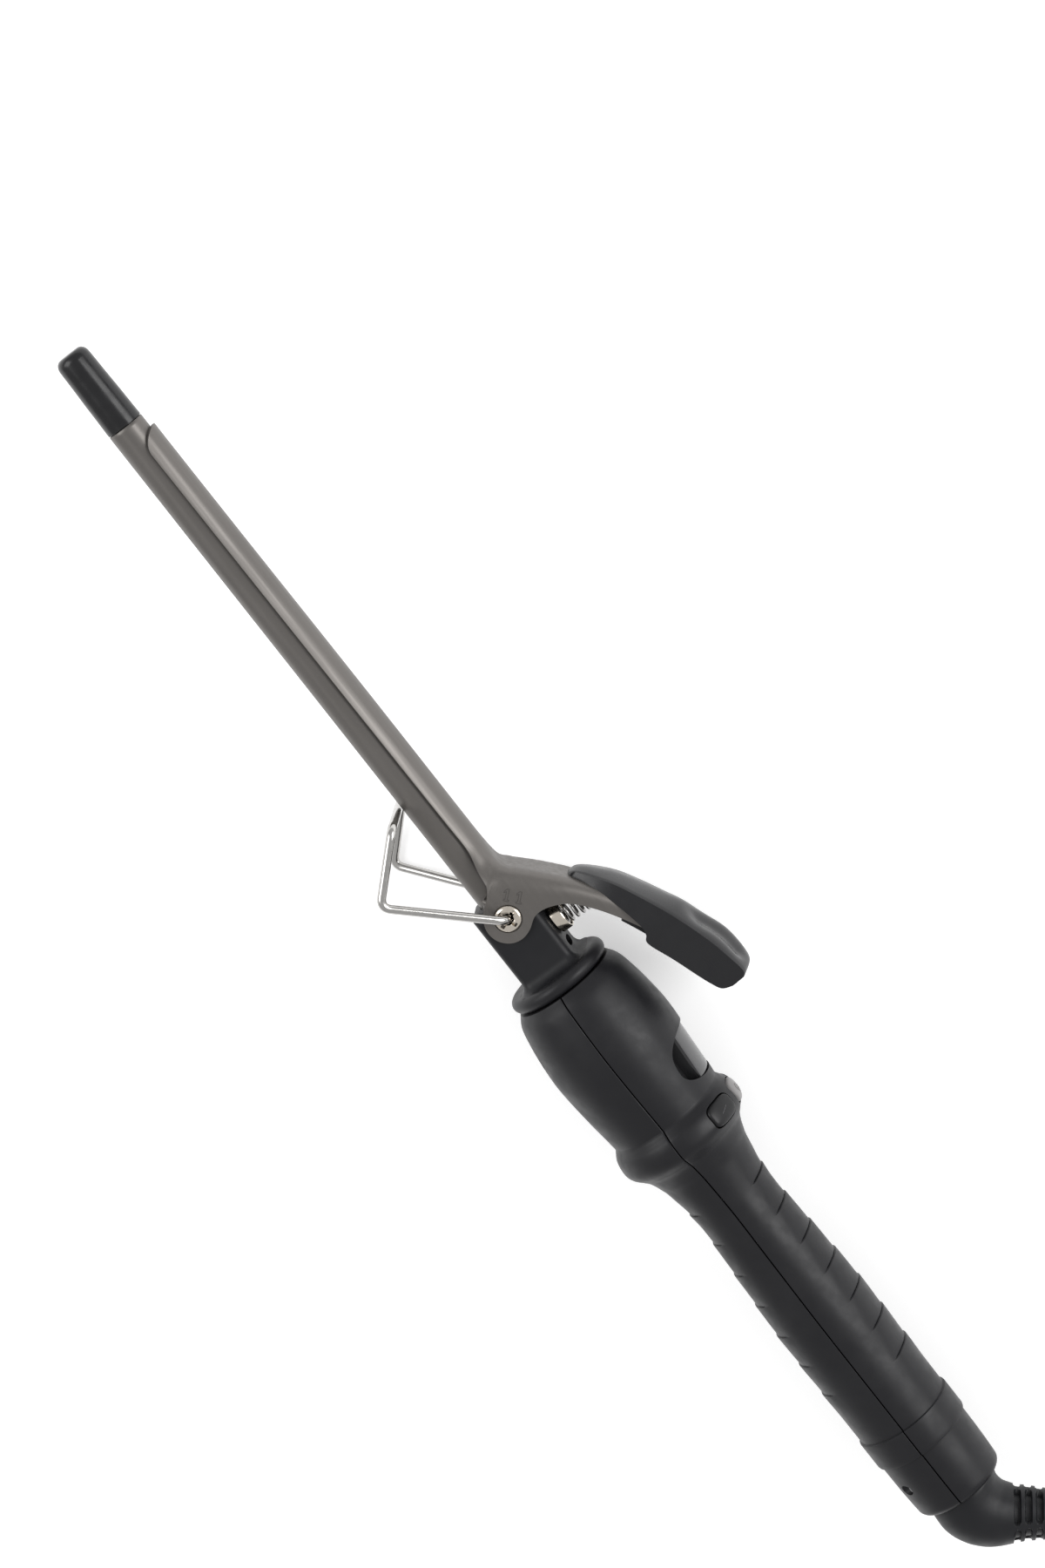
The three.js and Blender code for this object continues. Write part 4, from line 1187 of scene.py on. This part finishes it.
def button(name):
    """A key with a crowned top that follows the handle, proud by a little."""
    angle, half_length, half_width = BUTTONS[name]
    rings = []
    outline = key_outline(half_length, half_width, 64)
    turn = key_place(angle)

    def top_at(dx, dz):
        radius = handle_radius(CONTROL_X + dx) + KEY_PROUD
        return sqrt(max(radius * radius - dz * dz, 1))

    for scale, drop in ((1.0, 4.0), (1.0, 0.55), (0.985, 0.25), (0.95, 0.07), (0.88, 0.0),
                        (0.7, 0.0), (0.5, 0.0), (0.3, 0.0), (0.12, 0.0)):
        ring = []
        for dx, dz in outline:
            y = top_at(dx * min(scale, 0.95), dz * scale) - drop
            ring.append(turn @ Vector((dx * scale, y, dz * scale)))
        rings.append(ring)
    key = loft(name + "_key", rings)
    look = LIGHT_GREY if name == "power" else BUTTON_BLACK
    slot_name = "grey_plastic" if name == "power" else "black_plastic"
    finished(key, name + "_key", slot_name, look, name + "_button")
    strokes = {
        "power": [
            [(1.15 * cos(a), 1.15 * sin(a)) for a in
             (radians(40 + 280 * k / 20) for k in range(21))], [(0.3, 0), (1.6, 0)]],
        "plus": [[(-1.2, 0), (1.2, 0)], [(0, -1.2), (0, 1.2)]],
        "minus": [[(-0.5, -1.5), (0.5, 1.5)]],
    }[name]
    parts = []
    for stroke in strokes:
        path = []
        for point in resampled([Vector((*p, 0)) for p in stroke], 0.2):
            path.append(turn @ Vector((point.x, top_at(point.x, point.y), point.y)))
        parts.append(sweep("stroke", path, 0.07, 8))
    symbol = joined(name + "_symbol", parts)
    # The power symbol's dark strokes are painted shade in its engraved groove.
    finished(symbol, name + "_key", slot_name, ENGRAVED_SHADE if name == "power" else MARK_GREY)


def crowned_bar(name, x0, x1, half, front_r, back_r, base):
    """A bar across the handle whose top is part of a cone about the axis, edges softened."""
    rings = []
    for k in range(25):
        x = mix(x0, x1, k / 24)
        end = 0.2 * (1 - ease(min(x - x0, x1 - x), 0, 0.3))
        radius = mix(front_r, back_r, k / 24)
        ring = [Vector((x, base, -half))]
        for j in range(37):
            z = mix(-half, half, j / 36)
            side = 0.12 * (1 - ease(half - abs(z), 0, 0.3))
            ring.append(Vector((x, sqrt(radius ** 2 - z * z) - end - side, z)))
        ring.append(Vector((x, base, half)))
        rings.append(ring)
    return loft(name, rings)


def display():
    """The display: a smoked window on a plateau that fills the middle of its hollow."""
    x0 = low("display_window").x
    x1 = high("display_window").x
    half = half_across("display_window")
    front_r = high("display_window").y
    back_r = front_r - 0.9
    tray = prism("display_tray", display_outline(7.5, 13.4), 11.3, 12.8)
    plateau = crowned_bar("plateau", x0 - 0.25, x1 + 0.25, half + 0.35, front_r - 0.75,
                          back_r - 0.75, 12.4)
    finished(joined("display_surround", [tray, plateau]), "handle", "black_plastic",
             SATIN_BLACK, "display_frame")
    window = crowned_bar("display_cover", x0 - 0.25, x1 + 0.25, half + 0.3, front_r, back_r, 15.8)
    finished(window, "handle", "display_glass", WINDOW, "display_window", sharp=50)


# ---------------------------------------------------------------- elbow
RIB_PITCH = 3.2
RIB_COUNT = 9
FIRST_RIB = 10.7
SLOT_TURNS = [radians(40 + 90 * k) for k in range(4)]
SLOT_HALF_TURN = radians(38)
# The bend, as sections across it: the middle (x, y), the radius and the tilt in degrees.
BEND = [
    (ELBOW_START, 0, 11.0, 0), (ELBOW_START + 1, -0.2, 11.2, 3), (417.0, -0.5, 11.2, 7),
    (419.2, -0.6, 11.1, 11), (421.6, -0.1, 10.9, 17), (424.4, 1.2, 10.5, 25),
    (426.9, 3.3, 10.0, 33), (428.8, 5.6, 9.3, 39), (430.2, 8.0, 8.6, 46), (431.7, 10.6, 8.1, 52),
]


def slot_depth(distance, turn, size):
    """How deep the relief's surface lies at a place: short rounded slots, four to a ring."""
    nearest = round((distance - FIRST_RIB) / RIB_PITCH)
    if nearest < 0 or nearest >= RIB_COUNT:
        return 0
    along = abs(distance - FIRST_RIB - RIB_PITCH * nearest)
    off = min(abs(remainder(turn - middle, 2 * pi)) for middle in SLOT_TURNS)
    beyond = max(0, (off - SLOT_HALF_TURN) * size + 0.9)
    return 1.6 * (1 - ease(hypot(along, beyond), 0.8, 1.1))


def elbow():
    """The swivelling elbow and its strain relief, slotted so that it bends."""
    course = list(BEND)
    for distance, size in ((18, 7.6), (24, 6.8), (33, 5.6), (ARM_LENGTH, 4.4)):
        place = arm_point(distance)
        course.append((place.x - 0.2, place.y + 0.15, size, degrees(ARM_ANGLE)))
    rings = []
    columns = 128
    for x, y, size, tilt in through(course, 280):
        middle = Vector((x, y, 0))
        inner = Vector((-sin(radians(tilt)), cos(radians(tilt)), 0))
        ring = []
        for a in turns(columns):
            out = Vector((0, 0, 1)) * cos(a) + inner * sin(a)
            distance = (middle + out * size - ARM_START).dot(ARM_DIRECTION)
            ring.append(middle + out * (size - slot_depth(distance, a, size)))
        rings.append(ring)
    relief = loft("strain_relief", rings)
    return finished(relief, "swivel", "cord_sheath", NECK_PLASTIC, "cord_elbow", sharp=60)


# ---------------------------------------------------------------- inner pieces keep their shape
INNER = {
    ALUMINIUM: ("heat_spreader_upper", "heat_spreader_lower"),
    CERAMIC: ("heater_ceramic", "temperature_sensor", "heater_sleeve"),
    BOARD: ("circuit_board", "control_board"),
    BRASS: ("slip_ring_live", "slip_ring_neutral", "brush_live", "brush_neutral"),
    NICKEL: ("swivel_washer", "thermal_fuse"),
    SATIN_BLACK: ("display_module", "swivel_hub"),
    LIGHT_GREY: ("power_switch", "plus_switch", "minus_switch"),
    LEAD_SLEEVE: ("heater_lead_live", "heater_lead_neutral", "supply_lead_live",
                     "supply_lead_neutral"),
}


def inner_pieces():
    for look, nodes in INNER.items():
        for node in nodes:
            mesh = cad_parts[node].data
            mesh.materials.clear()
            mesh.materials.append(look)


# ---------------------------------------------------------------- stage
def stage():
    """A wide white floor in an even white studio, with two soft lamps."""
    size = 30.0
    below = -0.0004
    corners = [(-size, -size, 0), (size, -size, 0), (size, size, 0), (-size, size, 0)]
    ground = mesh_object("floor", corners, [(0, 1, 2, 3)])
    ground.location.z = below
    ground.data.materials.append(pale_floor())
    world = bpy.data.worlds.new("studio")
    world.use_nodes = True
    background = world.node_tree.nodes["Background"]
    background.inputs["Color"].default_value = (1, 1, 1, 1)
    background.inputs["Strength"].default_value = 0.6
    bpy.context.scene.world = world
    lamp("key", (0.36, 1.6, 1.15), (0, 0, 0.02), 1.2, 26)
    lamp("fill", (-1.3, -1.2, 1.6), (0, 0, 0.02), 1.6, 26)
    bpy.context.scene.view_settings.view_transform = "Standard"


def lamp(name, place, target, size, power):
    data = bpy.data.lights.new(name, "AREA")
    data.shape = "SQUARE"
    data.size = size
    data.energy = power
    obj = bpy.data.objects.new(name, data)
    obj.location = place
    aim = (Vector(target) - Vector(place)).to_track_quat("-Z", "Y")
    obj.rotation_euler = aim.to_euler()
    bpy.context.collection.objects.link(obj)


# ---------------------------------------------------------------- the whole iron
camera()
stage()
lead, lead_path = cord()
strap = cord_tie()
plug_pieces = plug()
cool_tip()
barrel()
clamp_plate()
hinge_washer(1)
hinge_washer(-1)
size_numerals()
thumb_rest()
lever_liner()
pivot_screw(1, "pivot_screw_left")
pivot_screw(-1, "pivot_screw_right")
spring_and_seat()
stand()
neck_block()
guard_ring()
handle()
for key_name in BUTTONS:
    button(key_name)
display()
elbow()
inner_pieces()
